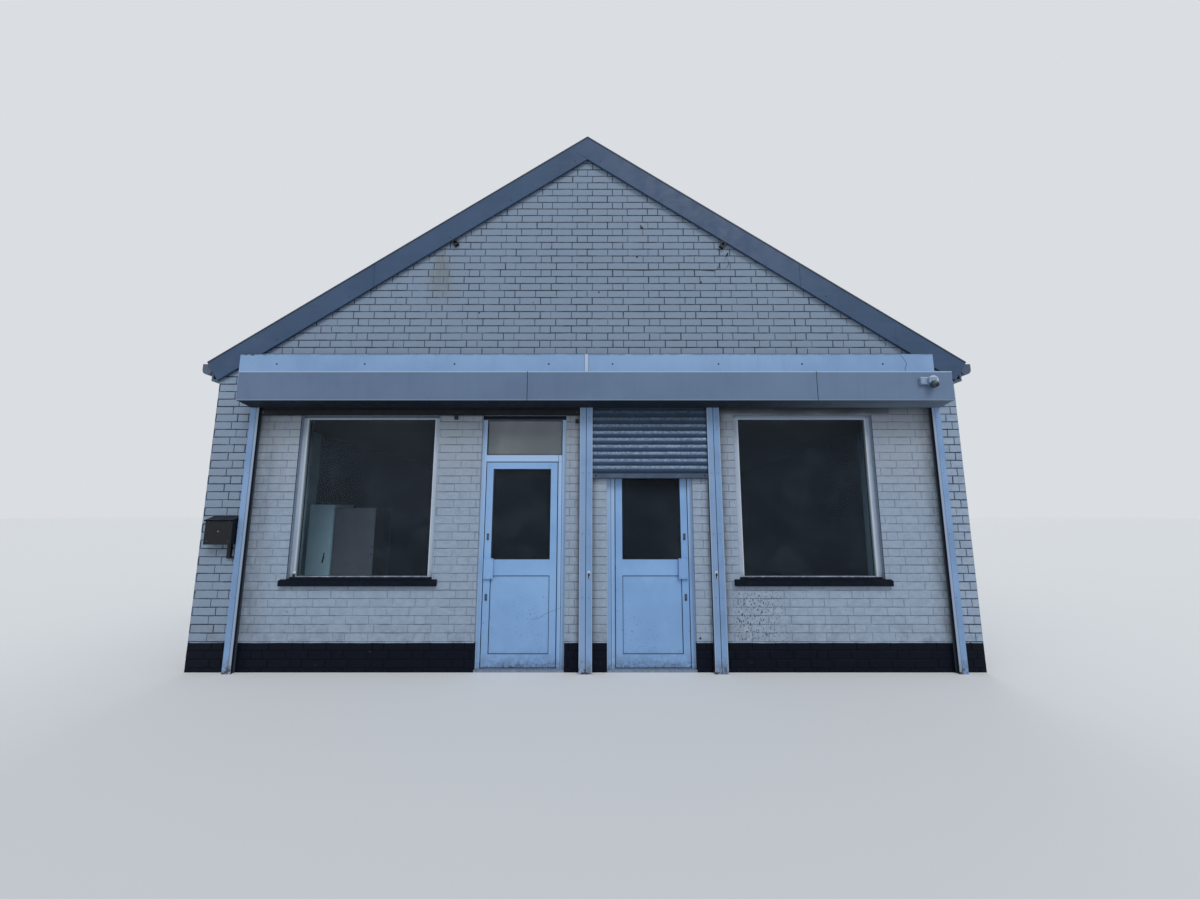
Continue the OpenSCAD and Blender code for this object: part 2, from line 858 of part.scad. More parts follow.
// Three sheets of the sign's face
module sign_face() {
    edges = [-sign_left, -sign_joint_left, sign_joint_right, sign_right];
    half_gap = board_joint_gap / 2;
    color("gray")
        for (i = [0 : 2])
            front_box([edges[i] + half_gap, edges[i + 1] - half_gap],
                [sign_reach - sign_sheet, sign_reach], [sign_bottom, sign_top]);
}

// Top, ends and underside of the sign box, behind its face
module sign_casing() {
    face_back = sign_reach - sign_sheet - seat;
    back = board_face + seat;
    color("gray") {
        front_box([-sign_left, sign_right], [back, face_back], [sign_top - sign_sheet, sign_top]);
        front_box([-sign_left, sign_right], [sign_slot, face_back], [sign_bottom, sign_bottom + sign_sheet]);
        for (x = [-sign_left, sign_right - sign_sheet])
            front_box([x, x + sign_sheet], [back, face_back], [sign_bottom, sign_top]);
    }
}

// Guide drawn as [x, distance in front of the wall], with a groove on each open side. One with two
// grooves is two channels side by side, with a gap between them in front of their back
module guide_outline(width, grooves) {
    groove_low = curtain_place - guide_groove / 2;
    difference() {
        translate([0, seat])
            square([width, guide_depth - seat]);
        for (open_side = grooves)
            translate([open_side > 0 ? width - groove_depth : -cut, groove_low])
                square([groove_depth + cut, guide_groove]);
        if (len(grooves) > 1)
            translate([(width - channel_gap) / 2, channel_back])
                square([channel_gap, guide_depth - channel_back + cut]);
    }
}

module guide(x, width, grooves) {
    translate([x, front_y, 0])
        mirror([0, 1, 0])
            linear_extrude(guide_top)
                guide_outline(width, grooves);
}

module shutter_guides() {
    color("aliceblue") {
        guide(left_guide_x, guide_width, [1]);
        guide(centre_guide_x, double_guide_width, [-1, 1]);
        guide(side_guide_x, double_guide_width, [-1, 1]);
        guide(right_guide_x, guide_width, [-1]);
    }
}

// Upright plates inside the sign box that stand on the guides and carry the barrels
module shutter_end_plates() {
    color("gray")
        for (x = plate_places)
            front_box([x, x + end_plate_thickness], [seat, sign_reach - sign_sheet - seat],
                [guide_top + seat, board_bottom - seat]);
}

// Radius of a barrel with the curtain that is wound on it
function roll_radius(bottom) =
    sqrt(pow(barrel_radius, 2) + (bottom - floor_thickness) * turn_thickness / PI);

// Distance from the wall to the axis of a roll whose back meets the curtain
function roll_place(bottom) = curtain_place + slat_face + seat + roll_radius(bottom);

// Roll between two end plates, counted from the left
module shutter_roll(plate, bottom) {
    low = plate_places[plate] + end_plate_thickness + seat;
    high = plate_places[plate + 1] - seat;
    translate([low, front_y - roll_place(bottom), barrel_height])
        rotate([0, 90, 0])
            cylinder(r = roll_radius(bottom), h = high - low);
}

module shutter_rolls() {
    color("silver") {
        shutter_roll(0, left_shutter_bottom);
        shutter_roll(1, door_shutter_bottom);
        shutter_roll(2, right_shutter_bottom);
    }
}

// One slat, drawn as [distance in front of the curtain's middle, height]: a bowed face with a bead
// along its lower edge, and a hook along its upper edge that holds the bead of the next slat
module slat_outline() {
    foot = -slat_pitch / 2;
    head = slat_pitch / 2;
    low_end = foot + slat_bead_radius * sin(30);
    high_end = head - hook_inner * cos(30);
    half_chord = (high_end - low_end) / 2;
    bow_radius = (pow(half_chord, 2) + pow(slat_bow, 2)) / (2 * slat_bow);
    translate([0, foot])
        circle(r = slat_bead_radius);
    difference() {
        union() {
            intersection() {
                translate([slat_face - bow_radius, (low_end + high_end) / 2])
                    difference() {
                        circle(r = bow_radius);
                        circle(r = bow_radius - slat_sheet);
                    }
                translate([0, low_end])
                    square([slat_face, 2 * half_chord]);
            }
            translate([0, head])
                circle(r = hook_radius);
        }
        translate([0, head])
            circle(r = hook_inner);
        translate([0, head])
            square(hook_radius + cut);
    }
}

// Curtain from its bottom rail up to the middle of its roll
module shutter(bay, bottom) {
    low_x = bay[0] - curtain_run_in;
    high_x = bay[1] + curtain_run_in;
    first = bottom + bottom_rail_height + slat_pitch / 2;
    slats = max(0, floor((barrel_height - first) / slat_pitch + 1));
    along_front(low_x, high_x)
        translate([curtain_place - bottom_rail_depth / 2, bottom])
            square([bottom_rail_depth, bottom_rail_height]);
    for (i = [0 : 1 : slats - 1])
        along_front(low_x, high_x)
            translate([curtain_place, first + i * slat_pitch])
                slat_outline();
}

module left_shutter() {
    color("dimgray")
        shutter(left_bay, left_shutter_bottom);
}

module door_shutter() {
    color("silver")
        shutter(door_bay, door_shutter_bottom);
}

module right_shutter() {
    color("silver")
        shutter(right_bay, right_shutter_bottom);
}

// Upright oval with two round ends, a span apart
module upright_oval(width, span) {
    square([width, span], center = true);
    for (end = [-1, 1])
        translate([0, end * span / 2])
            circle(r = width / 2);
}

// Oval lock plates with round barrels on the two double guides
module bullet_locks() {
    color("white")
        for (x = [door_bay[0] - centre_lock_inset, door_bay[1] + side_lock_inset])
            translate([x, front_y - guide_depth - seat, bullet_lock_height])
                rotate([90, 0, 0]) {
                    linear_extrude(bullet_plate_thickness)
                        upright_oval(bullet_plate_width, bullet_plate_span);
                    cylinder(r = bullet_barrel_radius, h = bullet_barrel_reach);
                }
}

// Window frame with a groove that takes the glass
module window_frame() {
    low = window_sill_top + seat;
    sides = [window_inner + seat, window_outer - seat];
    opening_x = [sides[0] + window_side, sides[1] - window_side];
    opening_z = [low + window_rail, opening_head - seat - window_head];
    color("white")
        difference() {
            recess_box(sides, [0, frame_depth], [low, opening_head - seat]);
            recess_box(opening_x, [-cut, frame_depth + cut], opening_z);
            pane(opening_x, opening_z, glass_thickness + 2 * glazing_gap, glazing_depth);
        }
}

// Box in a wall opening: x, distance behind the frames' outer face and height, each low and high
module recess_box(x, behind, z) {
    translate([x[0], front_y + frame_recess + behind[0], z[0]])
        cube([x[1] - x[0], behind[1] - behind[0], z[1] - z[0]]);
}

// Sheet in the middle of a frame's depth that runs past an opening on every side
module pane(x, z, thickness, margin) {
    middle = frame_depth / 2;
    recess_box([x[0] - margin, x[1] + margin], [middle - thickness / 2, middle + thickness / 2],
        [z[0] - margin, z[1] + margin]);
}

module left_window_frame() {
    on_side(-1) window_frame();
}

module right_window_frame() {
    on_side(1) window_frame();
}

module window_glass() {
    low = window_sill_top + seat + window_rail;
    color("lightsteelblue", 0.4)
        for (side = [-1, 1])
            on_side(side)
                pane([window_inner + seat + window_side, window_outer - seat - window_side],
                    [low, opening_head - seat - window_head],
                    glass_thickness, glazing_depth - glazing_gap);
}

// Sill with a sloping nose in front of the wall
module window_sills() {
    back = frame_recess + frame_depth;
    color("dimgray")
        for (side = [-1, 1])
            on_side(side) {
                along_front(window_inner + seat, window_outer - seat)
                    polygon([
                        [-back, apron_height + seat], [seat, apron_height + seat],
                        [seat, window_sill_top], [-back, window_sill_top]
                    ]);
                along_front(window_inner - sill_horn, window_outer + sill_horn)
                    polygon([
                        [seat, apron_height + seat], [sill_reach, apron_height + seat],
                        [sill_reach, window_sill_top - sill_fall], [seat, window_sill_top]
                    ]);
            }
}

// Opening of the fanlight over the transom
fanlight_x = [door_inner + hinge_side, door_outer - lock_side];
fanlight_z = [transom_bottom + transom_height, opening_head - seat - frame_head];

// Door frame with its transom, on the right side, with the fixed halves of the hinges
module door_frame() {
    sides = [door_inner + seat, door_outer - seat];
    strip_x = [door_inner + hinge_side, hinge_face_x + cut];
    leaf_x = [hinge_face_x, door_outer - lock_side];
    leaf_z = [floor_thickness - cut, transom_bottom];
    through = [-cut, frame_depth + cut];
    color("white") {
        difference() {
            recess_box(sides, [0, frame_depth], [floor_thickness + seat, opening_head - seat]);
            recess_box(leaf_x, through, leaf_z);
            recess_box(strip_x, [-cut, hinge_strip_step], leaf_z);
            recess_box(fanlight_x, through, fanlight_z);
            pane(fanlight_x, fanlight_z, glass_thickness + 2 * glazing_gap, glazing_depth);
        }
        for (height = hinge_heights)
            for (step = [-1, 1]) {
                hinge_knuckle(height + step * knuckle_pitch);
                hinge_flap(height + step * knuckle_pitch, hinge_axis_x - flap_width);
            }
        hinge_pins();
    }
}

// Solid knuckle of a hinge with its middle at a height
module hinge_knuckle(height) {
    translate([hinge_axis_x, front_y + hinge_axis_depth, height - knuckle_length / 2])
        cylinder(r = knuckle_radius, h = knuckle_length);
}

// Pins that fill the fixed knuckles and run through the bored ones
module hinge_pins() {
    reach = 1.5 * knuckle_length;
    for (height = hinge_heights)
        translate([hinge_axis_x, front_y + hinge_axis_depth, height - reach])
            cylinder(r = pin_radius, h = 2 * reach);
}

// Flap that ties a knuckle to the room side of its frame or leaf
module hinge_flap(height, low_x) {
    translate([low_x, front_y + leaf_inner, height - knuckle_length / 2])
        cube([flap_width, flap_thickness, knuckle_length]);
}

module left_door_frame() {
    on_side(-1) door_frame();
}

module right_door_frame() {
    on_side(1) door_frame();
}

module fanlight_glass() {
    color("lightsteelblue", 0.4)
        for (side = [-1, 1])
            on_side(side)
                pane(fanlight_x, fanlight_z, glass_thickness, glazing_depth - glazing_gap);
}

module thresholds() {
    color("darkgray")
        for (side = [-1, 1])
            on_side(side)
                translate([door_inner + seat, front_y, 0])
                    cube([doorway_width - 2 * seat, wall_thickness, floor_thickness]);
}

// Openings of the leaf: the glass above the middle rail and the panel below it
leaf_opening_x = [leaf_hinge_x + leaf_side, leaf_lock_x - leaf_side];
leaf_glass_z = [middle_rail_bottom + middle_rail_height, leaf_top - leaf_top_rail];
leaf_panel_z = [leaf_bottom + leaf_bottom_rail, middle_rail_bottom];

// Leaf with its sides and rails, on the right side, with the moving halves of the hinges
module door_leaf() {
    color("white") {
        difference() {
            front_box([leaf_hinge_x, leaf_lock_x], [-leaf_inner, -leaf_outer], [leaf_bottom, leaf_top]);
            for (opening_z = [leaf_glass_z, leaf_panel_z])
                front_box(leaf_opening_x, [-leaf_inner - cut, cut - leaf_outer], opening_z);
            leaf_pane(leaf_glass_z, glass_thickness + 2 * glazing_gap, glazing_depth);
            leaf_pane(leaf_panel_z, panel_thickness + 2 * glazing_gap, glazing_depth);
        }
        for (height = hinge_heights)
            difference() {
                union() {
                    hinge_knuckle(height);
                    hinge_flap(height, hinge_axis_x);
                }
                translate([hinge_axis_x, front_y + hinge_axis_depth, height - knuckle_length])
                    cylinder(r = pin_radius + pin_clearance, h = 2 * knuckle_length);
            }
    }
}

// Sheet in the middle of the leaf's thickness that runs past an opening on every side
module leaf_pane(z, thickness, margin) {
    middle = leaf_outer + leaf_thickness / 2;
    front_box([leaf_opening_x[0] - margin, leaf_opening_x[1] + margin],
        [-middle - thickness / 2, thickness / 2 - middle], [z[0] - margin, z[1] + margin]);
}

module door_panel() {
    color("white")
        leaf_pane(leaf_panel_z, panel_thickness, glazing_depth - glazing_gap);
}

module door_glass() {
    color("lightsteelblue", 0.4)
        leaf_pane(leaf_glass_z, glass_thickness, glazing_depth - glazing_gap);
}

// Guard over the latch and two lock cylinders on the outer face of the leaf
module door_locks() {
    face = seat - leaf_outer;
    guard_edge = leaf_lock_x - guard_inset;
    color("white")
        front_box([guard_edge - guard_width, guard_edge], [face, face + guard_reach],
            [guard_bottom, guard_bottom + guard_height]);
    color("dimgray")
        for (height = [lower_lock_height, upper_lock_height])
            translate([leaf_lock_x - lock_inset, front_y - face, height])
                rotate([90, 0, 0]) {
                    linear_extrude(lock_plate_thickness)
                        upright_oval(lock_plate_width, lock_plate_span);
                    linear_extrude(lock_barrel_reach)
                        upright_oval(lock_barrel_width, lock_barrel_span);
                }
}

module left_door_leaf() {
    on_side(-1) door_leaf();
}

module left_door_panel() {
    on_side(-1) door_panel();
}

module left_door_glass() {
    on_side(-1) door_glass();
}

module left_door_locks() {
    on_side(-1) door_locks();
}

module right_door_leaf() {
    on_side(1) door_leaf();
}

module right_door_panel() {
    on_side(1) door_panel();
}

module right_door_glass() {
    on_side(1) door_glass();
}

module right_door_locks() {
    on_side(1) door_locks();
}

// Box with a sloping lid, and the slotted clip under it
module wall_box() {
    right = left_guide_x - wall_box_gap;
    left = right - wall_box_width;
    top = wall_box_bottom + wall_box_height;
    clip_right = right - clip_inset;
    clip_left = clip_right - clip_width;
    clip_low = wall_box_bottom - clip_height;
    slot_right = clip_right - clip_side;
    color("black") {
        along_front(left, right)
            polygon([
                [seat, wall_box_bottom], [wall_box_depth, wall_box_bottom],
                [wall_box_depth, top - wall_box_lid_fall], [seat, top]
            ]);
        difference() {
            front_box([clip_left, clip_right], [seat, clip_depth], [clip_low, wall_box_bottom]);
            front_box([slot_right - clip_slot, slot_right], [seat - cut, clip_depth + cut],
                [clip_low + clip_foot, wall_box_bottom + cut]);
        }
    }
}

// Camera ball that hangs out of its hood on the sign's face, and the junction box beside it
module security_camera() {
    hood = camera_radius + camera_collar;
    color("white")
        translate([sign_right - camera_inset, front_y - sign_reach - seat, sign_bottom + camera_rise])
            rotate([90, 0, 0]) {
                cylinder(r = hood, h = camera_foot);
                translate([0, -camera_drop, camera_foot])
                    sphere(r = camera_radius);
                translate([-hood - junction_width, -junction_height / 2, 0])
                    cube([junction_width + hood, junction_height, junction_depth]);
            }
}

// Small bracket on the wall under a height
module small_bracket(middle, top) {
    front_box([middle - bracket_width / 2, middle + bracket_width / 2], [seat, bracket_reach],
        [top - bracket_height, top]);
}

// Short square tube on the wall under the barge board on the right side, turned to its slope
module gable_bracket(middle) {
    wall = gable_bracket_wall;
    translate([middle, front_y - seat, barge_bottom(middle)])
        rotate([90, roof_pitch, 0])
            linear_extrude(bracket_reach - seat)
                translate([-gable_bracket_width / 2, -bracket_gap - gable_bracket_height])
                    difference() {
                        square([gable_bracket_width, gable_bracket_height]);
                        translate([wall, wall])
                            square([gable_bracket_width - 2 * wall, gable_bracket_height - 2 * wall]);
                    }
}

// Brackets on the gable and beside the left doorway, and the cable hook
module gable_fittings() {
    head = left_shutter_bottom - bracket_gap;
    color("dimgray") {
        on_side(-1) gable_bracket(left_bracket_place);
        on_side(1) gable_bracket(right_bracket_place);
        small_bracket(centre_guide_x - guide_bracket_gap - bracket_width / 2, head - bracket_height);
        small_bracket(-door_outer - pier_bracket_inset, head);
        translate([hook_place, front_y - seat, barge_bottom(hook_place) - hook_drop])
            rotate([90, 0, 0])
                cylinder(r = hook_pin_radius, h = hook_pin_length);
    }
}

// Upright cabinet in the room, from a low to a high place along the front
module cabinet(low, high, height) {
    translate([low, inner_front_y + cabinet_stand_off, floor_thickness])
        cube([high - low, cabinet_depth, height]);
}

// Two upright cabinets that stand behind the left window
module cabinets() {
    left = -inner_half + cabinet_inset;
    middle = left + left_cabinet_width;
    right = middle + cabinet_gap + right_cabinet_width;
    color("lightsteelblue")
        cabinet(left, middle, left_cabinet_height);
    color("rosybrown")
        cabinet(middle + cabinet_gap, right, right_cabinet_height);
}

floor_slab();
front_wall_left();
front_wall_centre();
front_wall_right();
front_lintel();
front_gable();
left_wall();
right_wall();
rear_wall();
ceiling();
left_roof_slope();
right_roof_slope();
ridge_capping();
front_left_barge();
front_right_barge();
rear_barges();
eaves_boards();
gutters();
downpipes();
name_board();
sign_face();
sign_casing();
shutter_guides();
shutter_end_plates();
shutter_rolls();
left_shutter();
door_shutter();
right_shutter();
bullet_locks();
left_window_frame();
right_window_frame();
window_glass();
window_sills();
left_door_frame();
right_door_frame();
fanlight_glass();
thresholds();
left_door_leaf();
left_door_panel();
left_door_glass();
left_door_locks();
right_door_leaf();
right_door_panel();
right_door_glass();
right_door_locks();
wall_box();
security_camera();
gable_fittings();
cabinets();
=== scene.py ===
"""Looks of the shop building: brickwork, paint, slates, gaskets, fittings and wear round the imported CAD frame.

Places are in metres in the frame of the CAD: X to the viewer's right, Y from the front to the rear, Z up.
Colours are written as on a screen, from 0 to 255.
"""
import contextlib
import math
import random

import bmesh
import bpy
from mathutils import Matrix, Vector


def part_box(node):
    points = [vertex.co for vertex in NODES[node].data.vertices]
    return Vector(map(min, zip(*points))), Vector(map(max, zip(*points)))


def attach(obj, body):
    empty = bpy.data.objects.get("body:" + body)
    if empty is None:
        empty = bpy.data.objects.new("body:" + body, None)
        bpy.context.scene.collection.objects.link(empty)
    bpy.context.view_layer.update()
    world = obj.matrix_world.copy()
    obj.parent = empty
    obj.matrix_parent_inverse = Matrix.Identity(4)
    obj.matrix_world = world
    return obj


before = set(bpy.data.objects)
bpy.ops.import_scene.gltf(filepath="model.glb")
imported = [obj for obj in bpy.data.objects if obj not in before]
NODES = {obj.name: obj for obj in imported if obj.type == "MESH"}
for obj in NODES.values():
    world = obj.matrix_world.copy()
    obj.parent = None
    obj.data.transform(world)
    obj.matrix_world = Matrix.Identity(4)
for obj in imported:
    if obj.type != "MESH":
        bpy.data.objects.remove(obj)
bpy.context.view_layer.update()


def low(node):
    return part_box(node)[0]


def high(node):
    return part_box(node)[1]


# ---------------------------------------------------------------- sizes, from the frame where it gives them

FRONT, REAR = low("front_wall_left").y, high("rear_wall").y
HALF = high("right_wall").x
WALL = 0.23
PITCH = math.radians(33.7)
FALL = math.tan(PITCH)
APEX_WALL = high("front_gable").z
EDGE_X, APEX = high("right_roof_slope").x, high("right_roof_slope").z
PLINTH = 0.29
DOOR_IN, DOOR_OUT = 0.222, 1.153
WINDOW_IN, WINDOW_OUT = low("right_window_frame").x, high("right_window_frame").x
HEAD = high("front_wall_left").z
BAY_LEFT, BAY_RIGHT, BAY_TOP = -3.645, 3.845, 2.80
SIDE_GUIDE = 1.389
LINTEL_LOW, LINTEL_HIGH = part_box("front_lintel")
GUIDE_FACE = low("shutter_guides").y
BARGE_FACE = FRONT - 0.045

COURSE, JOINT, UPRIGHT, FIRST_BED = 0.086, 0.009, 0.0075, 0.043
STRETCHER, HEADER = 0.238, 0.1195
# lift of a brick's face, the skew of its corners, and what a thick coat of paint adds round it
BRICK_LIFT, COATED_LIFT, WOBBLE = (0.0032, 0.005), (0.0026, 0.0036), 0.0012
COAT_ALONG, COAT_UP = 0.0012, 0.0008

BRICK_PAINT, BRICK_PALE, BRICK_DULL, BRICK_WARM = (142, 158, 178), (156, 171, 190), (124, 141, 162), (141, 149, 159)
GABLE_PAINT, JOINT_DARK, PLINTH_BLACK = (119, 134, 153), (27, 38, 54), (5, 11, 25)
RUST, SOOT_AND_SHADOW, SCRATCH = (106, 102, 90), (50, 52, 57), (78, 84, 92)


def srgb(*tint):
    """A colour as on a screen as the linear one that a shader takes."""
    def linear(value):
        value /= 255
        return value / 12.92 if value <= 0.04045 else ((value + 0.055) / 1.055) ** 2.4
    return tuple(linear(value) for value in tint) + (1.0,)


# ---------------------------------------------------------------- materials

class Field:
    """A value that varies over a surface. It takes arithmetic, where | is the larger of two."""

    def __init__(self, paint, socket):
        self.paint, self.socket = paint, socket

    def __add__(self, other):
        return self.paint.math("ADD", self, other)

    def __sub__(self, other):
        return self.paint.math("SUBTRACT", self, other)

    def __rsub__(self, other):
        return self.paint.math("SUBTRACT", other, self)

    def __mul__(self, other):
        return self.paint.math("MULTIPLY", self, other)

    def __truediv__(self, other):
        return self.paint.math("DIVIDE", self, other)

    def __or__(self, other):
        return self.paint.math("MAXIMUM", self, other)

    def __abs__(self):
        return self.paint.math("ABSOLUTE", self)

    def ramp(self, start, end, first=0.0, last=1.0):
        """Smooth step from first to last as the value goes from start to end."""
        node = self.paint.make("ShaderNodeMapRange", Value=self)
        node.interpolation_type = "SMOOTHSTEP"
        for name, number in zip(("From Min", "From Max", "To Min", "To Max"), (start, end, first, last)):
            node.inputs[name].default_value = number
        return Field(self.paint, node.outputs["Result"])

    def fall(self, start, end):
        """1 below start, falling to 0 at end."""
        return self.ramp(start, end, 1.0, 0.0)

    def near(self, half, soft, *middles):
        """1 within half of any of the middles, falling to 0 over soft."""
        mask = None
        for middle in middles:
            band = abs(self - middle).fall(half, half + soft)
            mask = band if mask is None else mask | band
        return mask


class Paint:
    """Builds one material: colours laid over each other where masks say, and heights embossed in its surface."""

    def __init__(self, name, colour, rough=0.5, metallic=0.0, specular=0.5):
        self.material = bpy.data.materials.new(name)
        self.material.use_nodes = True
        self.tree = self.material.node_tree
        self.bsdf = self.tree.nodes["Principled BSDF"]
        self.bsdf.inputs["Metallic"].default_value = metallic
        self.bsdf.inputs["Specular IOR Level"].default_value = specular
        self.colour, self.rough, self.normal = colour, rough, None
        self.place = self.make("ShaderNodeTexCoord").outputs["Object"]
        self.x, self.y, self.z = self.split(self.place)

    def make(self, kind, **inputs):
        node = self.tree.nodes.new(kind)
        for key, value in inputs.items():
            self.put(node.inputs[key], value)
        return node

    def put(self, socket, value):
        if isinstance(value, Field):
            value = value.socket
        if isinstance(value, bpy.types.NodeSocket):
            self.tree.links.new(value, socket)
        else:
            socket.default_value = srgb(*value) if socket.type == "RGBA" else value

    def split(self, vector):
        return [Field(self, socket) for socket in self.make("ShaderNodeSeparateXYZ", Vector=vector).outputs]

    def math(self, operation, first, second=0.0):
        node = self.make("ShaderNodeMath")
        node.operation = operation
        self.put(node.inputs[0], first)
        self.put(node.inputs[1], second)
        return Field(self, node.outputs[0])

    def noise(self, scale, detail=3.0, rough=0.55, turn=(0, 0, 0), distortion=0.0):
        """Cloudy noise. A scale for each axis stretches it."""
        place = self.place
        if isinstance(scale, tuple):
            place = self.make("ShaderNodeMapping", Vector=place, Scale=scale, Rotation=turn).outputs[0]
            scale = 1
        node = self.make("ShaderNodeTexNoise", Vector=place, Scale=scale, Detail=detail, Roughness=rough,
                         Distortion=distortion)
        return Field(self, node.outputs[0])

    def tone(self):
        """The tone that each brick or slate has been given."""
        node = self.make("ShaderNodeAttribute")
        node.attribute_name = "tone"
        return Field(self, node.outputs["Fac"])

    def mix(self, factor, first, second):
        node = self.make("ShaderNodeMix")
        node.data_type = "RGBA"
        for index, value in ((0, factor), (6, first), (7, second)):
            self.put(node.inputs[index], value)
        return node.outputs[2]

    def over(self, colour, mask):
        self.colour = self.mix(mask, self.colour, colour)

    def emboss(self, height, distance, strength):
        node = self.make("ShaderNodeBump", Height=height, Distance=distance, Strength=strength)
        if self.normal is not None:
            self.put(node.inputs["Normal"], self.normal)
        self.normal = node.outputs[0]

    def finish(self):
        for name, value in (("Base Color", self.colour), ("Roughness", self.rough), ("Normal", self.normal)):
            if value is not None:
                self.put(self.bsdf.inputs[name], value)
        return self.material


def on_front(paint):
    """1 on the outer face of the front wall."""
    return paint.y.fall(FRONT + 0.02, FRONT + 0.03)


def sheltered(paint):
    """1 on the front wall between the outer guides and under the sign, where thick paint fills the joints."""
    x, z = paint.x, paint.z
    return (x.ramp(BAY_LEFT - 0.01, BAY_LEFT) * x.fall(BAY_RIGHT, BAY_RIGHT + 0.01)
            * z.fall(BAY_TOP, BAY_TOP + 0.01) * on_front(paint))


def tints_and_sign_shade(paint, bay):
    """Paint is greyer on the gables and beside the bay, warmer under the sign, and darker at the top of the bay as
    painted shade of the sign.
    """
    x, z = paint.x, paint.z
    paint.over(GABLE_PAINT, z.ramp(2.75, 3.45) * 0.85)
    paint.over(GABLE_PAINT, x.fall(BAY_LEFT - 0.02, BAY_LEFT) * on_front(paint) * z.fall(2.75, 3.0) * 0.75)
    paint.over(BRICK_WARM, bay * z.ramp(1.5, 2.6, 0.15, 0.7))
    # painted shade of the sign over the top courses of the bay
    paint.over((112, 112, 110), bay * z.ramp(2.2, 2.75, 0.0, 0.2))


def bed_line(paint, bare):
    """Dark line that wanders along every bed joint, partly crack and partly painted shade under the bricks' edges,
    wider on the bare walls, and the height above the joint.
    """
    fraction = paint.math("FRACT", (paint.z - FIRST_BED) / COURSE + 0.5)
    above = (fraction - 0.5) * COURSE
    wave = (paint.noise((6, 6, 13), 4, 0.6) - 0.5) * 0.013
    half = (paint.noise(4.5, 5, 0.7) - 0.35) * 0.016 + bare * 0.0018
    line = (abs(above - wave) - half).fall(-0.0006, 0.0014)
    lintel = (paint.z.near((LINTEL_HIGH.z - LINTEL_LOW.z) / 2 - 0.0005, 0.0005, (LINTEL_LOW.z + LINTEL_HIGH.z) / 2)
              * abs(paint.x).fall(LINTEL_HIGH.x - 0.001, LINTEL_HIGH.x + 0.001) * on_front(paint))
    return line * (1.0 - lintel), above


def brick_wear_and_shade(paint, bay):
    """Dirt, streaks, rust and flaking that the bricks and the joints share, with painted shade beside the guides and
    under the sign. Gives the mask of the plinth's paint.
    """
    x, z = paint.x, paint.z
    paint.over(BRICK_DULL, paint.noise((9, 9, 0.9), 4, 0.6).ramp(0.52, 0.75) * 0.35)
    paint.over((96, 102, 108), z.fall(0.3, 0.6) * paint.noise(9, 5, 0.7).ramp(0.45, 0.66) * 0.35)
    # dirt and painted shade in the corners beside the guides, and soot and painted shadow under the sign
    corner = (x.ramp(-3.60, -3.25, 0.8, 0) * x.ramp(-3.61, -3.6) | x.fall(1.45, 1.57) * x.ramp(1.44, 1.45)
              | x.ramp(3.62, 3.80) * x.fall(3.81, 3.82) | x.fall(0.06, 0.13) * x.ramp(0.05, 0.06)
              | x.ramp(-0.13, -0.06) * x.fall(-0.06, -0.05))
    grime_and_shade = bay * corner * paint.noise((12, 12, 5), 4, 0.6).ramp(0.2, 0.75, 0.25, 1.0)
    paint.over((76, 82, 86), grime_and_shade * 0.75)
    smear = z + paint.noise((3, 3, 14), 4, 0.6) * 0.09
    paint.over(SOOT_AND_SHADOW, bay * smear.ramp(2.70, 2.82) * x.ramp(2.9, 3.7, 1.0, 0.45) * 0.9)
    # rust under the left bracket of the gable
    spread = 0.17 - z.ramp(4.3, 4.75) * 0.09
    under = (abs(x + 1.70) - spread).fall(-0.09, 0.0) * z.ramp(3.85, 4.5) * z.fall(4.74, 4.76) * on_front(paint)
    paint.over(RUST, under * paint.noise((17, 17, 2.4), 5, 0.7).ramp(0.3, 0.62, 0.3, 1.0) * 0.5)
    # flecks of lost paint beside the side guide
    reach = x.ramp(1.5, 1.62) * x.fall(1.75, 2.3) * z.ramp(0.29, 0.33) * z.fall(0.72, 0.88) * on_front(paint)
    fleck = paint.noise((62, 62, 40), 3, 0.6, (0, 0.6, 0), 0.4)
    paint.over((66, 74, 86), reach * fleck.ramp(0.56, 0.6))
    paint.over((88, 92, 98), paint.noise(52, 3, 0.6).ramp(0.69, 0.72) * paint.noise(1.7, 2).ramp(0.46, 0.6) * 0.6)
    wavy = z + (paint.noise(4, 3) - 0.5) * 0.012
    return wavy.fall(PLINTH - 0.002, PLINTH + 0.002)


def brick_paint():
    """Paint on the faces of the bricks."""
    paint = Paint("brick_paint", BRICK_DULL, specular=0.1)
    bay = sheltered(paint)
    paint.over(BRICK_PALE, paint.tone())
    paint.over(BRICK_PAINT, bay.ramp(0, 1, 0.5, 0.75))
    paint.over(BRICK_PALE, paint.noise(0.55, 3, 0.6).ramp(0.4, 0.7) * 0.4)
    paint.over(BRICK_DULL, paint.noise((17, 17, 24), 4, 0.7).ramp(0.36, 0.64) * 0.55)
    paint.over(BRICK_DULL, paint.noise(70, 4, 0.7).ramp(0.56, 0.72) * 0.3)
    tints_and_sign_shade(paint, bay)
    line, _ = bed_line(paint, 1.0 - bay)
    paint.over(JOINT_DARK, line * bay.ramp(0, 1, 0.76, 0.5))
    plinth = brick_wear_and_shade(paint, bay)
    worn = paint.noise(16, 5, 0.7).ramp(0.62, 0.68) * paint.noise(2.3, 2).ramp(0.5, 0.62)
    paint.over(paint.mix(worn * 0.5, PLINTH_BLACK, (46, 58, 74)), plinth)
    paint.rough = plinth.ramp(0, 1, 0.62, 0.5)
    paint.emboss(paint.noise(45, 5, 0.7), 0.004, 0.8)
    paint.emboss(paint.noise(260, 3, 0.6), 0.0008, 0.6)
    return paint.finish()


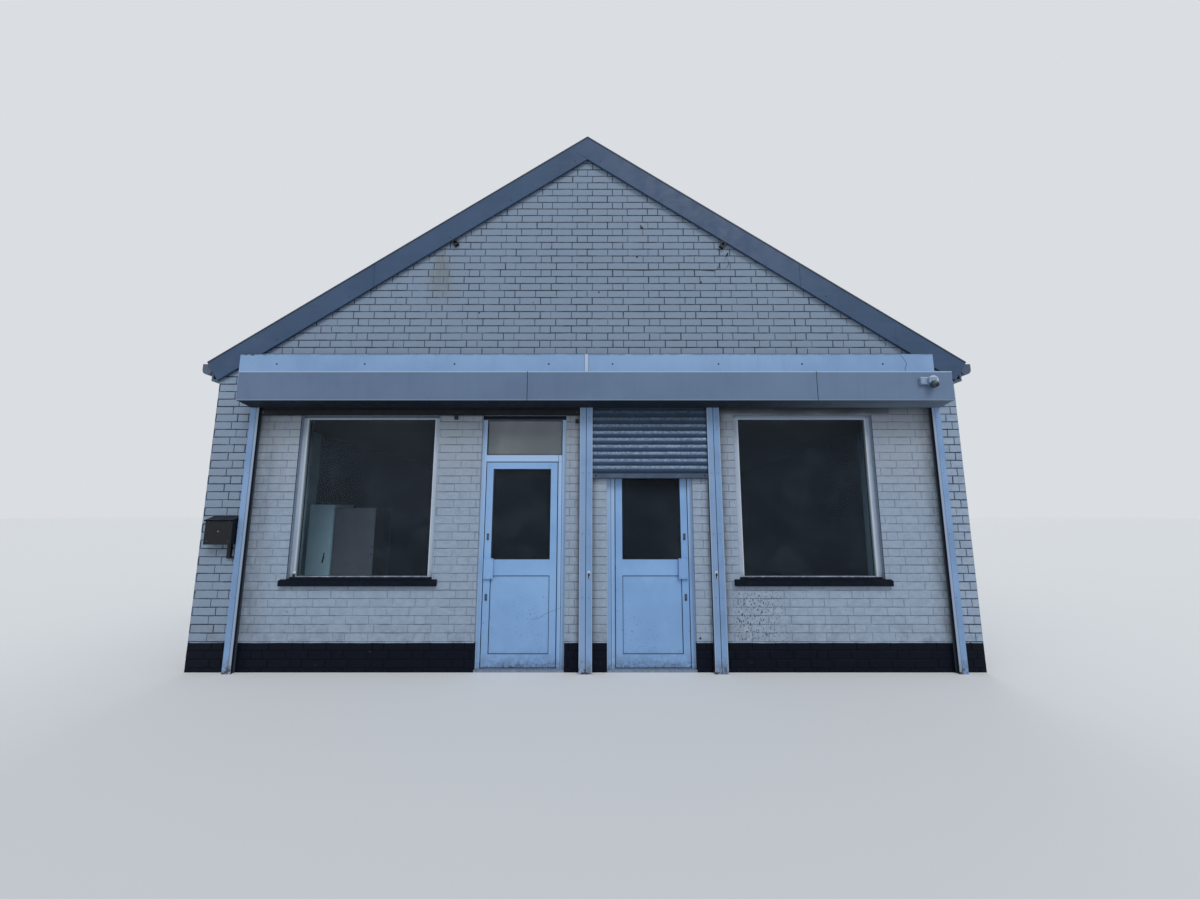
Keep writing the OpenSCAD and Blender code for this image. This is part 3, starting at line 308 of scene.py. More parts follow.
def joint_paint():
    """Joints between the bricks, the reveals of the openings, and the plaster of the inner faces."""
    paint = Paint("joint_paint", BRICK_PAINT, 0.75, specular=0.1)
    x, y, z, away = paint.x, paint.y, paint.z, abs(paint.x)
    bay = sheltered(paint)
    bare = 1.0 - bay
    outer = (y.fall(FRONT + 0.001, FRONT + 0.002) | y.ramp(REAR - 0.002, REAR - 0.001)
             | away.ramp(HALF - 0.002, HALF - 0.001))
    line, above = bed_line(paint, bare)
    bed = abs(above).fall(JOINT / 2 - 0.0003, JOINT / 2 + 0.0008)
    upright = paint.noise(5.3, 3, 0.6).ramp(0.34, 0.5, 0.55, 1.0) * bare.ramp(0, 1, 0.34, 0.9)
    dark = upright * (1.0 - bed) + line * bare.ramp(0, 1, 0.6, 0.92) * bed
    # cracks: a long one in the gable, and stepped ones beside the left guide
    crack = z.near(0.006, 0.002, FIRST_BED + 51 * COURSE) * x.ramp(0.0, 0.05) * x.fall(1.44, 1.47) * bed
    steps = (x.ramp(-3.92, -3.88) * x.fall(-3.66, -3.64) * z.ramp(1.8, 1.9)
             * paint.noise(3.1, 2, 0.5).ramp(0.45, 0.5))
    paint.over(BRICK_DULL, paint.noise(30, 3, 0.6).ramp(0.35, 0.7))
    tints_and_sign_shade(paint, bay)
    paint.over(JOINT_DARK, (dark | crack | steps) * outer)
    plinth = brick_wear_and_shade(paint, bay)
    # reveals of the windows and doors: pale paint, shade and a dark arris, and blue light towards the room
    jamb = (away.near(0.0006, 0.0003, WINDOW_IN, WINDOW_OUT, DOOR_IN, DOOR_OUT)
            * y.ramp(FRONT + 0.0003, FRONT + 0.0008) * z.ramp(PLINTH, PLINTH + 0.005))
    paint.over(paint.mix(paint.noise(24, 4, 0.7).ramp(0.4, 0.7), (166, 178, 192), (136, 148, 162)), jamb)
    paint.over((122, 138, 160), jamb * away.ramp(1.4, 1.5) * y.fall(FRONT + 0.05, FRONT + 0.054) * 0.8)
    paint.over(JOINT_DARK, jamb * y.fall(FRONT + 0.010, FRONT + 0.015))
    daylight = paint.mix(z.ramp(1.5, 2.6), (156, 206, 234), (84, 116, 138))
    paint.over(paint.mix(0.45, daylight, (30, 40, 50)), jamb * y.ramp(FRONT + 0.10, FRONT + 0.104))
    paint.over((6, 9, 15), plinth)
    # inside: plaster darkened as painted shade of the unlit room, and painted daylight on the side walls beside the
    # windows
    inside = (y.ramp(FRONT + WALL - 0.002, FRONT + WALL - 0.001)
              * away.fall(HALF - WALL + 0.001, HALF - WALL + 0.002)
              * y.fall(REAR - WALL + 0.001, REAR - WALL + 0.002))
    paint.over(paint.mix(paint.noise(1.5, 4, 0.6), (22, 26, 31), (30, 34, 40)), inside)
    beside = inside * away.ramp(HALF - WALL - 0.002, HALF - WALL - 0.001) * y.fall(FRONT + 1.55, FRONT + 1.58)
    paint.over(daylight, beside)
    paint.emboss(paint.noise(90, 4, 0.7) * (1.0 - inside), 0.003, 0.8)
    return paint.finish()


def smooth_paint(name, base, dull, rough=0.42, scratches=0.25, dirt=None):
    """Sprayed or brushed paint with faint clouds, fine orange peel and scratches.
    dirt is its colour, the height up to which it is full, and the height where it ends."""
    paint = Paint(name, base, specular=0.2)
    paint.over(dull, paint.noise(1.3, 4, 0.6).ramp(0.35, 0.7))
    paint.over(SCRATCH, paint.noise((26, 26, 7), 5, 0.75).ramp(0.62, 0.7) * scratches)
    if dirt is not None:
        tint, full, end = dirt
        paint.over(tint, paint.z.fall(full, end) * paint.noise(14, 5, 0.7).ramp(0.36, 0.6) * 0.7)
    paint.rough = paint.noise(8, 4, 0.6).ramp(0.3, 0.7, rough - 0.08, rough + 0.12)
    paint.emboss(paint.noise(320, 2, 0.5), 0.0004, 0.5)
    return paint


def door_paint():
    """Frames and leaves of the doors: frames paler towards the top and lighter edges as painted light, painted shadow
    on the head and painted shade in the gaps and steps, a scratch, specks and worn feet.
    """
    paint = smooth_paint("door_paint", (130, 167, 210), (116, 153, 198), 0.38, 0.2, ((88, 98, 112), 0.02, 0.26))
    x, z, away = paint.x, paint.z, abs(paint.x)
    paint.over((116, 148, 190), z.ramp(0.2, 1.1, 0.35, 0.0))
    # long scratch over the lower part of the left door, from its panel to its hinge side
    line = z - ((x + 0.62) * 0.37 + 0.49) + (paint.noise(6, 2) - 0.5) * 0.05
    paint.over((70, 88, 114), line.near(0.0018, 0.0018, 0.0) * x.near(0.14, 0.06, -0.41) * 0.75)
    specks = (paint.noise((50, 50, 36), 3, 0.6).ramp(0.64, 0.69) * paint.noise(3, 2).ramp(0.42, 0.6)
              * z.ramp(0.7, 1.0, 1.0, 0.12))
    paint.over((72, 90, 116), specks * 0.7)
    paint.over((56, 66, 80), z.fall(0.03, 0.12) * paint.noise(48, 5, 0.75).ramp(0.52, 0.56) * 0.8)
    # inner faces of the frame, edges of the leaf, and the gap over it; the frame paler towards the top and the edges
    # lighter, as painted light
    frame_in, leaf_in, leaf_out, frame_out, leaf_top = 0.313, 0.318, 1.097, 1.105, 2.181
    edges = away.near(0.004, 0.002, DOOR_IN + 0.006, DOOR_OUT - 0.006) | away.near(0.003, 0.002, 0.277)
    bars = (away.fall(frame_in, frame_in + 0.0005) | away.ramp(frame_out - 0.0005, frame_out)
            | z.ramp(leaf_top - 0.001, leaf_top - 0.0005))
    paint.over((164, 190, 222), bars * z.ramp(0.8, 2.4, 0.15, 0.75))
    paint.over((168, 198, 230), edges * 0.45)
    # painted shadow of the sign, nearly black, over the head of the frame
    paint.over((14, 18, 27), z.ramp(2.652, 2.658))
    # painted shade in the steps of the frame
    steps = away.near(0.003, 0.001, 0.269) | away.near(0.0024, 0.001, 0.3095)
    paint.over((34, 52, 80), steps * 0.75)
    # painted shade in the gaps round the leaf and over it
    gaps = (away.near(0.0005, 0.0003, frame_in, leaf_in, leaf_out, frame_out)
            | z.near(0.0055, 0.0003, leaf_top) * away.ramp(0.31, 0.311) * away.fall(1.106, 1.107))
    leaf_face = low("left_door_leaf").y
    paint.over((14, 18, 24), gaps * paint.y.ramp(leaf_face + 0.001, leaf_face + 0.0015))
    return paint.finish()


def guide_paint():
    """Shutter guides: blue-white paint, greyer on the left channels, pale bare lips, painted shade in the grooves and
    seams, rust and dirt at the feet.
    """
    paint = smooth_paint("guide_paint", (124, 154, 192), (106, 136, 174), 0.42, 0.5, ((96, 92, 90), 0.0, 0.22))
    x, y, z = paint.x, paint.y, paint.z
    paint.over((128, 150, 180), x.near(0.030, 0.002, -0.034, 1.355) * 0.35)
    lips = x.ramp(-3.626, -3.622) * x.fall(-3.5, -3.4) | x.fall(3.822, 3.826) * x.ramp(3.4, 3.5)
    paint.over((142, 154, 172), lips * 0.8)
    # painted shade in a groove line beside each outer lip
    paint.over((44, 60, 84), (x.near(0.0025, 0.001, -3.629) | x.near(0.0015, 0.001, 3.829)) * 0.7)
    paint.over((164, 180, 202), x.near(0.003, 0.002, -0.066, 1.455, 0.066, 1.323) * 0.6)
    paint.over((62, 56, 54), z.fall(0.02, 0.12) * paint.noise(26, 4, 0.7).ramp(0.5, 0.58))
    # painted shade inside the grooves on the flanks, lighter towards the wall
    flanks = y.ramp(GUIDE_FACE + 0.0025, GUIDE_FACE + 0.0035) * (1.0 - x.near(0.004, 0.002, -3.69, 3.89))
    lapped = y.ramp(GUIDE_FACE + 0.034, GUIDE_FACE + 0.044)
    paint.over(paint.mix(lapped, (16, 24, 36), (66, 74, 86)), flanks)
    # painted shade in the seams between the halves of the double guides
    seams = x.near(0.0034, 0.0004, 0.0, SIDE_GUIDE)
    paint.over((20, 30, 48), seams * y.ramp(GUIDE_FACE + 0.001, GUIDE_FACE + 0.004))
    return paint.finish()


def frame_paint():
    """White frames of the shop windows: yellowed and chipped, dirty along the foot and the outer edges, with painted
    shade on the glazing beads and the heads and a painted highlight along the inner edges.
    """
    paint = smooth_paint("window_frame_paint", (166, 180, 198), (150, 165, 184), 0.45, 0.4,
                         ((82, 88, 92), 0.95, 1.02))
    x, z, away = paint.x, paint.z, abs(paint.x)
    paint.over((92, 100, 110), paint.noise((60, 60, 22), 4, 0.7).ramp(0.62, 0.66) * 0.5)
    paint.over((116, 128, 142), paint.noise((40, 40, 2), 4, 0.6).ramp(0.5, 0.7) * 0.3)
    # painted shade on the glazing bead, darker towards the top under the sign
    bead = away.near(0.008, 0.002, 3.100) * z.fall(2.655, 2.66)
    paint.over(paint.mix(z.ramp(1.7, 2.5), (112, 128, 138), (64, 74, 80)), bead * 0.85)
    # painted highlight along the inner edges of the frames
    paint.over((190, 198, 206), (away.near(0.006, 0.002, 3.116) | away.near(0.005, 0.002, 1.688)) * 0.6)
    # painted shade of the sign on the heads of the frames, deeper on the left window
    grey = paint.mix(x.ramp(1.0, 1.5), (72, 79, 84), (128, 138, 150))
    paint.over(grey, z.ramp(2.674, 2.678) * 0.85)
    ragged = z + paint.noise(40, 3) * 0.02
    paint.over((12, 18, 30), ragged.fall(0.954, 0.957))
    paint.over((34, 38, 46), x.near(0.012, 0.004, -3.122) * ragged.fall(0.985, 0.992))
    paint.over((196, 206, 216), x.near(0.012, 0.006, -3.117) * ragged.near(0.008, 0.005, 1.006))
    return paint.finish()


def sign_paint():
    """Sheets of the sign face: paler to the right as painted light, with a painted highlight on the upper rim, a
    paler band along the foot, dark joints and painted shade on the underside.
    """
    paint = smooth_paint("sign_paint", (93, 112, 139), (84, 103, 130), scratches=0.06)
    x, y, z = paint.x, paint.y, paint.z
    corner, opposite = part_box("sign_face")
    # painted light: paler towards the right
    paint.over((104, 124, 152), x.ramp(-3.6, 3.8, 0.0, 0.5))
    paint.over((78, 92, 112), paint.noise((14, 14, 0.8), 4, 0.6).ramp(0.5, 0.72) * 0.15)
    # painted highlight on the upper rim
    paint.over((154, 176, 203), z.ramp(opposite.z - 0.013, opposite.z - 0.010) * 0.85)
    paint.over((112, 131, 156), z.fall(corner.z + 0.009, corner.z + 0.013) * 0.8)
    paint.over((40, 48, 60), x.near(0.003, 0.001, -0.62, 2.45) * y.fall(corner.y + 0.01, corner.y + 0.011))
    # painted shade on the underside of the face's foot
    under = z.fall(corner.z + 0.004, corner.z + 0.007) * y.ramp(corner.y + 0.008, corner.y + 0.02)
    paint.over((44, 50, 60), under * 0.85)
    paint.emboss(paint.noise(2.5, 2, 0.4), 0.006, 0.5)
    return paint.finish()


def soffit_paint():
    """Sheet under the sign: nearly black as painted shade, dusty towards its right end."""
    # nearly black base as painted shade under the sign
    paint = smooth_paint("soffit_paint", (24, 33, 44), (36, 42, 50), 0.6, 0.1)
    dust = paint.noise((1.2, 12, 12), 4, 0.6).ramp(0.25, 0.7, 0.7, 1.0)
    paint.over((102, 116, 132), paint.x.ramp(1.3, 3.8) * dust)
    return paint.finish()


def name_board_paint():
    """Board over the sign: streaked, with a pale strip over its middle joint, a dark line of painted shadow along its
    top and dark chips at its left end.
    """
    paint = smooth_paint("board_paint", (131, 160, 196), (120, 150, 187), 0.5, 0.1)
    x, z, top = paint.x, paint.z, high("name_board").z
    paint.over((104, 124, 150), paint.noise((10, 10, 0.7), 4, 0.65).ramp(0.5, 0.75) * 0.15)
    paint.over((96, 112, 134), z.ramp(top - 0.03, top - 0.004) * paint.noise(12, 4, 0.7).ramp(0.35, 0.6) * 0.7)
    paint.over((178, 194, 212), x.near(0.021, 0.001, 0.0) * 0.7)
    paint.over((64, 76, 94), x.near(0.0012, 0.0008, -0.0215, 0.0215))
    worn = z + paint.noise(24, 3, 0.6).ramp(0.5, 0.6) * 0.012
    # painted shadow in a dark line along the top, and dark chips at the left end
    shadow_line_and_chips = (z.ramp(top - 0.008, top - 0.005) * x.ramp(-3.56, -3.5, 0.3, 1)
             | worn.ramp(top - 0.012, top - 0.009) * x.fall(-3.62, -3.55))
    paint.over((38, 50, 72), shadow_line_and_chips * 0.8)
    return paint.finish()


def barge_paint(name, turn):
    """Boards along the verges, with a grain that follows the slope."""
    paint = smooth_paint(name, (57, 78, 106), (51, 71, 98), 0.46, 0.06)
    grain = paint.noise((1.92, 9.6, 48), 5, 0.65, (0, turn, 0))
    paint.over((74, 92, 118), grain.ramp(0.48, 0.72) * 0.2)
    paint.emboss(grain, 0.001, 0.5)
    return paint.finish()


def steel_slats(shutter, shade=1.0):
    """Galvanised curtain: spangled zinc, dust and a painted highlight on the crests that face the sky, painted shade
    on the faces turned down, under the sign and along the bottom rail, and a smooth bottom rail. A shade below 1
    darkens it all as painted shade.
    """
    def tone(*tint):
        return tuple(value * shade for value in tint)

    rail_top = low(shutter).z + 0.0655
    paint = Paint(shutter + "_steel", tone(42, 64, 92), metallic=0.35, specular=0.25)
    z = paint.z
    spangle = paint.make("ShaderNodeTexVoronoi", Vector=paint.place, Scale=70).outputs["Distance"]
    paint.over(tone(60, 84, 114), Field(paint, spangle) * 0.9)
    paint.over(tone(36, 52, 74), paint.noise(5, 4, 0.65).ramp(0.35, 0.7) * 0.4)
    facing = paint.split(paint.make("ShaderNodeNewGeometry").outputs["Normal"])[2]
    specks = paint.noise(130, 4, 0.85).ramp(0.42, 0.58) * paint.noise(34, 4, 0.75).ramp(0.36, 0.6, 0.3, 1.0)
    # dust specks and a painted highlight on the crests that face up
    paint.over(tone(146, 166, 186), facing.near(0.22, 0.14, 0.34) * (specks | 0.18) * 0.9)
    # painted shade on the faces turned down
    paint.over(tone(16, 24, 36), facing.fall(-0.45, 0.02) * 0.85)
    smooth = paint.mix(paint.noise(6, 4, 0.6).ramp(0.35, 0.65), tone(74, 90, 112), tone(62, 76, 98))
    paint.over(smooth, z.fall(rail_top - 0.001, rail_top + 0.001))
    # painted shade in dark lines at the top of the bottom rail and along its foot
    lines = z.near(0.006, 0.003, rail_top - 0.003) | z.fall(rail_top - 0.060, rail_top - 0.055)
    paint.over(tone(18, 24, 34), lines * 0.8)
    # painted shade of the sign over the top of the curtain
    paint.over(tone(14, 22, 32), z.ramp(2.45, 2.80) * 0.5)
    paint.rough = paint.noise(18, 4, 0.6).ramp(0.3, 0.7, 0.42, 0.62)
    paint.emboss(paint.noise(120, 3, 0.6), 0.0006, 0.6)
    return paint.finish()


def glass(name, clean, dusty, alpha):
    """Glass, clear but for a film of dust that gathers in clouds and runs; on the fanlight its pale film is also a
    painted reflection.
    """
    paint = Paint(name, clean, specular=0.35)
    paint.over(dusty, paint.noise(3.5, 5, 0.7).ramp(0.4, 0.75) * 0.5)
    paint.rough = paint.noise((20, 20, 2.5), 4, 0.7).ramp(0.5, 0.8).ramp(0, 1, 0.03, 0.09)
    paint.bsdf.inputs["Alpha"].default_value = alpha
    paint.bsdf.inputs["IOR"].default_value = 1.5
    paint.material.surface_render_method = "BLENDED"
    return paint.finish()


def camera_ball():
    """Middle of the security camera's ball, whose lowest and foremost points are the node's own."""
    corner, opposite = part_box("security_camera")
    return Vector((opposite.x - 0.051, corner.y + 0.04, corner.z + 0.04))


def camera_plastic():
    """White moulding of the hood and junction box, painted blue-grey as shade with a painted highlight along its top
    and right edges, and the camera's dark ball in it.
    """
    # white plastic painted blue-grey as shade
    paint = Paint("camera_plastic", (116, 136, 162), 0.4)
    middle = camera_ball()
    paint.over((130, 150, 176), paint.noise(30, 4).ramp(0.35, 0.68))
    # painted highlight along the top and right edges
    lit = paint.z.ramp(middle.z + 0.072, middle.z + 0.080) | paint.x.ramp(middle.x + 0.032, middle.x + 0.038)
    paint.over((176, 190, 208), lit * 0.8)
    paint.over((104, 118, 136), paint.noise(60, 4, 0.7).ramp(0.55, 0.7) * 0.3)
    offset = paint.make("ShaderNodeVectorMath")
    offset.operation = "DISTANCE"
    paint.put(offset.inputs[0], paint.place)
    paint.put(offset.inputs[1], middle)
    paint.over((46, 58, 66), Field(paint, offset.outputs["Value"]).fall(0.0405, 0.041))
    paint.emboss(paint.noise(300, 3), 0.0003, 0.6)
    return paint.finish()


def slate():
    paint = Paint("roof_slate", (48, 54, 62), 0.55)
    paint.over((80, 86, 94), paint.tone())
    paint.over((116, 120, 104), paint.noise(7, 5, 0.7).ramp(0.6, 0.72) * 0.45)
    riven = paint.noise((14, 5.6, 14), 6, 0.7)
    paint.over((40, 45, 53), riven * 0.35)
    paint.emboss(riven, 0.004, 0.7)
    return paint.finish()


def speckled(name, first, second, rough, scale=24, depth=0.001, metallic=0.0, specular=0.5):
    """Stone, concrete, board, rubber, metal or plastic: two tones, pores and a grained surface."""
    paint = Paint(name, first, metallic=metallic, specular=specular)
    paint.over(second, paint.noise(scale, 5, 0.65).ramp(0.35, 0.68))
    paint.over(first, paint.noise(scale / 12, 3).ramp(0.4, 0.7) * 0.35)
    paint.rough = paint.noise(scale / 2, 3).ramp(0.3, 0.7, rough - 0.08, rough + 0.08)
    paint.emboss(paint.noise(scale * 6, 3, 0.6), depth, 0.7)
    return paint.finish()


M = {
    "brick": brick_paint(),
    "joint": joint_paint(),
    "door": door_paint(),
    "sign": sign_paint(),
    "name_board": name_board_paint(),
    "barge_left": barge_paint("barge_left_paint", PITCH),
    "barge_right": barge_paint("barge_right_paint", -PITCH),
    "door_slats": steel_slats("door_shutter"),
    # shade 0.42: painted shade over the shutters under the sign
    "left_slats": steel_slats("left_shutter", 0.42),
    "right_slats": steel_slats("right_shutter", 0.42),
    "glass": glass("shop_glass", (62, 76, 90), (112, 128, 144), 0.1),
    # fanlight: a pale film of dust that also stands in for a painted reflection
    "dust_and_reflection_glass": glass("fanlight_glass", (114, 124, 131), (160, 167, 172), 0.5),
    "slate": slate(),
    "guide": guide_paint(),
    "window_frame": frame_paint(),
    "bullet": smooth_paint("bullet_lock_paint", (190, 202, 216), (168, 182, 198), 0.35, 0.3).finish(),
    "soffit": soffit_paint(),
    "gutter": smooth_paint("gutter_plastic", (84, 98, 118), (70, 82, 100), 0.45, 0.1).finish(),
    "fascia": smooth_paint("fascia_paint", (78, 92, 114), (68, 82, 102), 0.5, 0.15).finish(),
    "concrete": speckled("concrete", (96, 97, 96), (122, 122, 119), 0.85, 18, 0.002),
    "step": speckled("painted_step", (116, 134, 158), (94, 106, 122), 0.6, 30),
    "ceiling": speckled("ceiling_board", (56, 61, 66), (66, 71, 75), 0.9, 12),
    "sill": speckled("sill_paint", (5, 12, 25), (17, 22, 33), 0.7, 16, 0.002, specular=0.1),
    "black": speckled("black_paint", (5, 9, 16), (13, 18, 27), 0.42, 26, 0.0006, specular=0.25),
    "rubber": speckled("rubber_seal", (16, 18, 22), (26, 29, 34), 0.7, 60, 0.0004),
    "white_plastic": camera_plastic(),
    "dark_metal": speckled("dark_metal", (44, 48, 54), (66, 70, 76), 0.45, 50, 0.0005, 0.7),
    "screw": speckled("screw_metal", (88, 96, 106), (120, 128, 138), 0.4, 80, 0.0003, 0.8),
    "roll": speckled("zinc_roll", (58, 68, 80), (78, 88, 100), 0.5, 20, 0.0006, 0.7),
    "ridge": speckled("ridge_tile", (58, 62, 68), (80, 84, 88), 0.7, 16, 0.002),
    "cabinet": speckled("cabinet_paint", (176, 224, 248), (184, 230, 251), 0.45, 8, 0.00005),
    # body of the brown cabinet: dark brown, its side standing in for painted shade
    "cabinet_side": speckled("cabinet_side", (34, 30, 34), (42, 38, 42), 0.6, 10, 0.00005),
    "cabinet_brown": speckled("cabinet_brown", (88, 97, 112), (96, 105, 120), 0.55, 8, 0.00005),
}

# materials of the CAD nodes
DRESS = {
    "joint": "front_wall_left front_wall_centre front_wall_right front_gable left_wall right_wall rear_wall "
             "front_lintel",
    "concrete": "floor_slab",
    "step": "thresholds",
    "ceiling": "ceiling",
    "slate": "left_roof_slope right_roof_slope",
    "ridge": "ridge_capping",
    "barge_left": "front_left_barge",
    "barge_right": "front_right_barge",
    "fascia": "rear_barges eaves_boards",
    "gutter": "gutters downpipes",
    "name_board": "name_board",
    "sign": "sign_face sign_casing",
    "guide": "shutter_guides",
    "bullet": "bullet_locks",
    "roll": "shutter_end_plates shutter_rolls",
    "door_slats": "door_shutter",
    "left_slats": "left_shutter",
    "right_slats": "right_shutter",
    "window_frame": "left_window_frame right_window_frame",
    "door": "left_door_frame right_door_frame left_door_leaf left_door_panel right_door_leaf right_door_panel "
            "left_door_locks right_door_locks",
    "glass": "window_glass left_door_glass right_door_glass",
    "dust_and_reflection_glass": "fanlight_glass",
    "sill": "window_sills",
    "black": "wall_box gable_fittings",
    "white_plastic": "security_camera",
    "cabinet": "cabinets",
}


def dress(node, material):
    """Gives a CAD node a material by its object's material slots."""
    if not node.material_slots:
        node.data.materials.append(material)
    for slot in node.material_slots:
        slot.material = material


for material, names in DRESS.items():
    for name in names.split():
        dress(NODES[name], M[material])


# ---------------------------------------------------------------- mesh helpers

def piece(name, mesh, material, body="shop"):
    """Links a mesh as a piece of the object that rides on a body."""
    mesh.materials.append(M[material])
    made = bpy.data.objects.new(name, mesh)
    bpy.context.scene.collection.objects.link(made)
    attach(made, body)


def from_bmesh(name, build):
    mesh = bpy.data.meshes.new(name)
    build.normal_update()
    build.to_mesh(mesh)
    build.free()
    return mesh


@contextlib.contextmanager
def modelled(name, material, slot, body="shop", even=False):
    """A piece that the lines in its with block model. even turns its faces outward."""
    build = bmesh.new()
    yield build
    if even:
        bmesh.ops.recalc_face_normals(build, faces=build.faces)
    piece(name, from_bmesh(name, build), material, body)


def toned(name, piece_name, verts, faces, tones, material):
    """A piece of bricks or slates, whose faces each have a tone."""
    mesh = bpy.data.meshes.new(name)
    mesh.from_pydata(verts, [], faces)
    mesh.attributes.new("tone", "FLOAT", "FACE").data.foreach_set("value", tones)
    piece(piece_name, mesh, material)


def tone_of(chance, spread):
    return min(1.0, max(0.0, chance.gauss(0.5, spread)))


def strips(build, rows, closed=False):
    """Faces between rows of vertices."""
    for first, second in zip(rows, rows[1:]):
        count = len(first)
        for i in range(count if closed else count - 1):
            j = (i + 1) % count
            build.faces.new((first[i], first[j], second[j], second[i]))


def block(build, corner, opposite, bevel=0.001, turn=None):
    """Box with bevelled edges between two corners, turned about its middle."""
    corner, opposite = Vector(corner), Vector(opposite)
    size = opposite - corner
    made = bmesh.ops.create_cube(build, size=1.0)["verts"]
    bmesh.ops.scale(build, vec=size, verts=made)
    edges = list({edge for vert in made for edge in vert.link_edges})
    bevelled = bmesh.ops.bevel(build, geom=edges, offset=min(bevel, 0.45 * min(size)), segments=1, affect="EDGES",
                               profile=0.5)
    made = list({vert for face in bevelled["faces"] for vert in face.verts} | {v for v in made if v.is_valid})
    if turn is not None:
        bmesh.ops.transform(build, matrix=turn, verts=made)
    bmesh.ops.translate(build, vec=(corner + opposite) / 2, verts=made)


def stud(build, place, radius, reach, toward=(0, -1, 0), sides=12):
    """Low round head on a surface: a rim, a chamfer and a flat top that points toward a direction."""
    toward = Vector(toward).normalized()
    across = toward.orthogonal().normalized()
    up = toward.cross(across)
    turns = [2 * math.pi * i / sides for i in range(sides)]
    rings = [[build.verts.new(Vector(place) + toward * reach * height
                              + (across * math.cos(turn) + up * math.sin(turn)) * radius * size) for turn in turns]
             for size, height in ((1.0, 0.0), (1.0, 0.45), (0.72, 1.0))]
    strips(build, rings, closed=True)
    build.faces.new(rings[-1])


def ring_frame(build, x, z, y, width):
    """Flat rectangular ring of a width inside x and z, crowned between two depths y."""
    def corners(inset):
        return [(x[0] + inset, z[0] + inset), (x[1] - inset, z[0] + inset), (x[1] - inset, z[1] - inset),
                (x[0] + inset, z[1] - inset)]

    shoulder = y[0] + 0.2 * (y[1] - y[0])
    loops = ((0, y[1]), (0, shoulder), (width / 2, y[0]), (width, shoulder), (width, y[1]))
    strips(build, [[build.verts.new((px, depth, pz)) for px, pz in corners(inset)] for inset, depth in loops],
           closed=True)


def ribbon(build, points, widths, y):
    """Thin dark strip along a broken line in a plane that faces the front."""
    rows = []
    for i, (x, z) in enumerate(points):
        before, after = points[max(i - 1, 0)], points[min(i + 1, len(points) - 1)]
        along = Vector((after[0] - before[0], after[1] - before[1])).normalized()
        across = Vector((-along.y, along.x)) * widths[i] / 2
        rows.append([build.verts.new((x + s * across.x, y, z + s * across.y)) for s in (-1, 1)])
    for first, second in zip(rows, rows[1:]):
        build.faces.new((first[0], second[0], second[1], first[1]))


# ---------------------------------------------------------------- brickwork

def course_bricks(start, end, course, chance):
    """Ends of the bricks in one course: three stretchers to a header, set back half a period in odd courses."""
    period = 3 * STRETCHER + HEADER
    place = math.floor(start / period) * period - (period / 2 if course % 2 else 0)
    count = 0
    while place < end:
        length = HEADER if count % 4 == 3 else STRETCHER
        slip = chance.uniform(-0.003, 0.003)
        first, last = max(place + UPRIGHT / 2 + slip, start), min(place + length - UPRIGHT / 2 + slip, end)
        if last - first > 0.02:
            yield first, last
        place += length
        count += 1


def cut_out(rect, hole):
    """What is left of a brick's face beside a hole."""
    u0, u1, v0, v1 = rect
    a0, a1, b0, b1 = hole
    if u1 <= a0 or u0 >= a1 or v1 <= b0 or v0 >= b1:
        return [rect]
    m0, m1 = max(u0, a0), min(u1, a1)
    parts = [(u0, a0, v0, v1), (a1, u1, v0, v1), (m0, m1, v0, b0), (m0, m1, b1, v1)]
    return [part for part in parts if part[1] - part[0] > 0.012 and part[3] - part[2] > 0.012]


def in_bay(u, v):
    return BAY_LEFT < u < BAY_RIGHT and PLINTH < v < BAY_TOP


def brickwork(name, span, top, holes, place, seed, gable=None, coated=None):
    """Faces of bricks over a wall: each one's edge rises from the joint over two chamfers to its face.
    place turns (along, up, out) into a point. gable(height) gives how far the wall reaches to each side there,
    and coated(along, up) says where the paint is thick."""
    chance = random.Random(seed)
    verts, faces, tones = [], [], []
    course = 0
    while (bed := FIRST_BED + (course - 1) * COURSE) < top - 0.02:
        base, head = max(bed + JOINT / 2, 0.0005), min(bed + COURSE - JOINT / 2, top)
        start, end = span
        if gable is not None:
            start, end = max(start, -gable(head)), min(end, gable(head))
        for first, last in course_bricks(start, end, course, chance):
            rects = [(first, last, base, head)]
            for hole in holes:
                rects = [part for rect in rects for part in cut_out(rect, hole)]
            for u0, u1, v0, v1 in rects:
                thick = coated is not None and coated((u0 + u1) / 2, (v0 + v1) / 2)
                if thick:
                    u0, u1, v0, v1 = u0 - COAT_ALONG, u1 + COAT_ALONG, v0 - COAT_UP, v1 + COAT_UP
                tones += [tone_of(chance, 0.22)] * 9
                lift = chance.uniform(*(COATED_LIFT if thick else BRICK_LIFT))
                begin = len(verts)
                for inset, out in ((-0.0005, -0.0004), (0.0012, 0.62 * lift), (0.0035, lift)):
                    left, right, foot, crown = u0 + inset, u1 - inset, v0 + inset, v1 - inset
                    for u, v in ((left, foot), (right, foot), (right, crown), (left, crown)):
                        wobble = chance.uniform(-WOBBLE, WOBBLE) if out > 0 else 0.0
                        verts.append(place(u + wobble, v + wobble, out + 0.2 * wobble))
                for ring in (begin, begin + 4):
                    for i in range(4):
                        j = (i + 1) % 4
                        faces.append((ring + i, ring + j, ring + 4 + j, ring + 4 + i))
                faces.append((begin + 8, begin + 9, begin + 10, begin + 11))
        course += 1
    toned(name, name, verts, faces, tones, "brick")


def gable_reach(height):
    """Half width of a gable at a height, up to the underside of the roof deck."""
    return (APEX_WALL - height) / FALL + 0.01


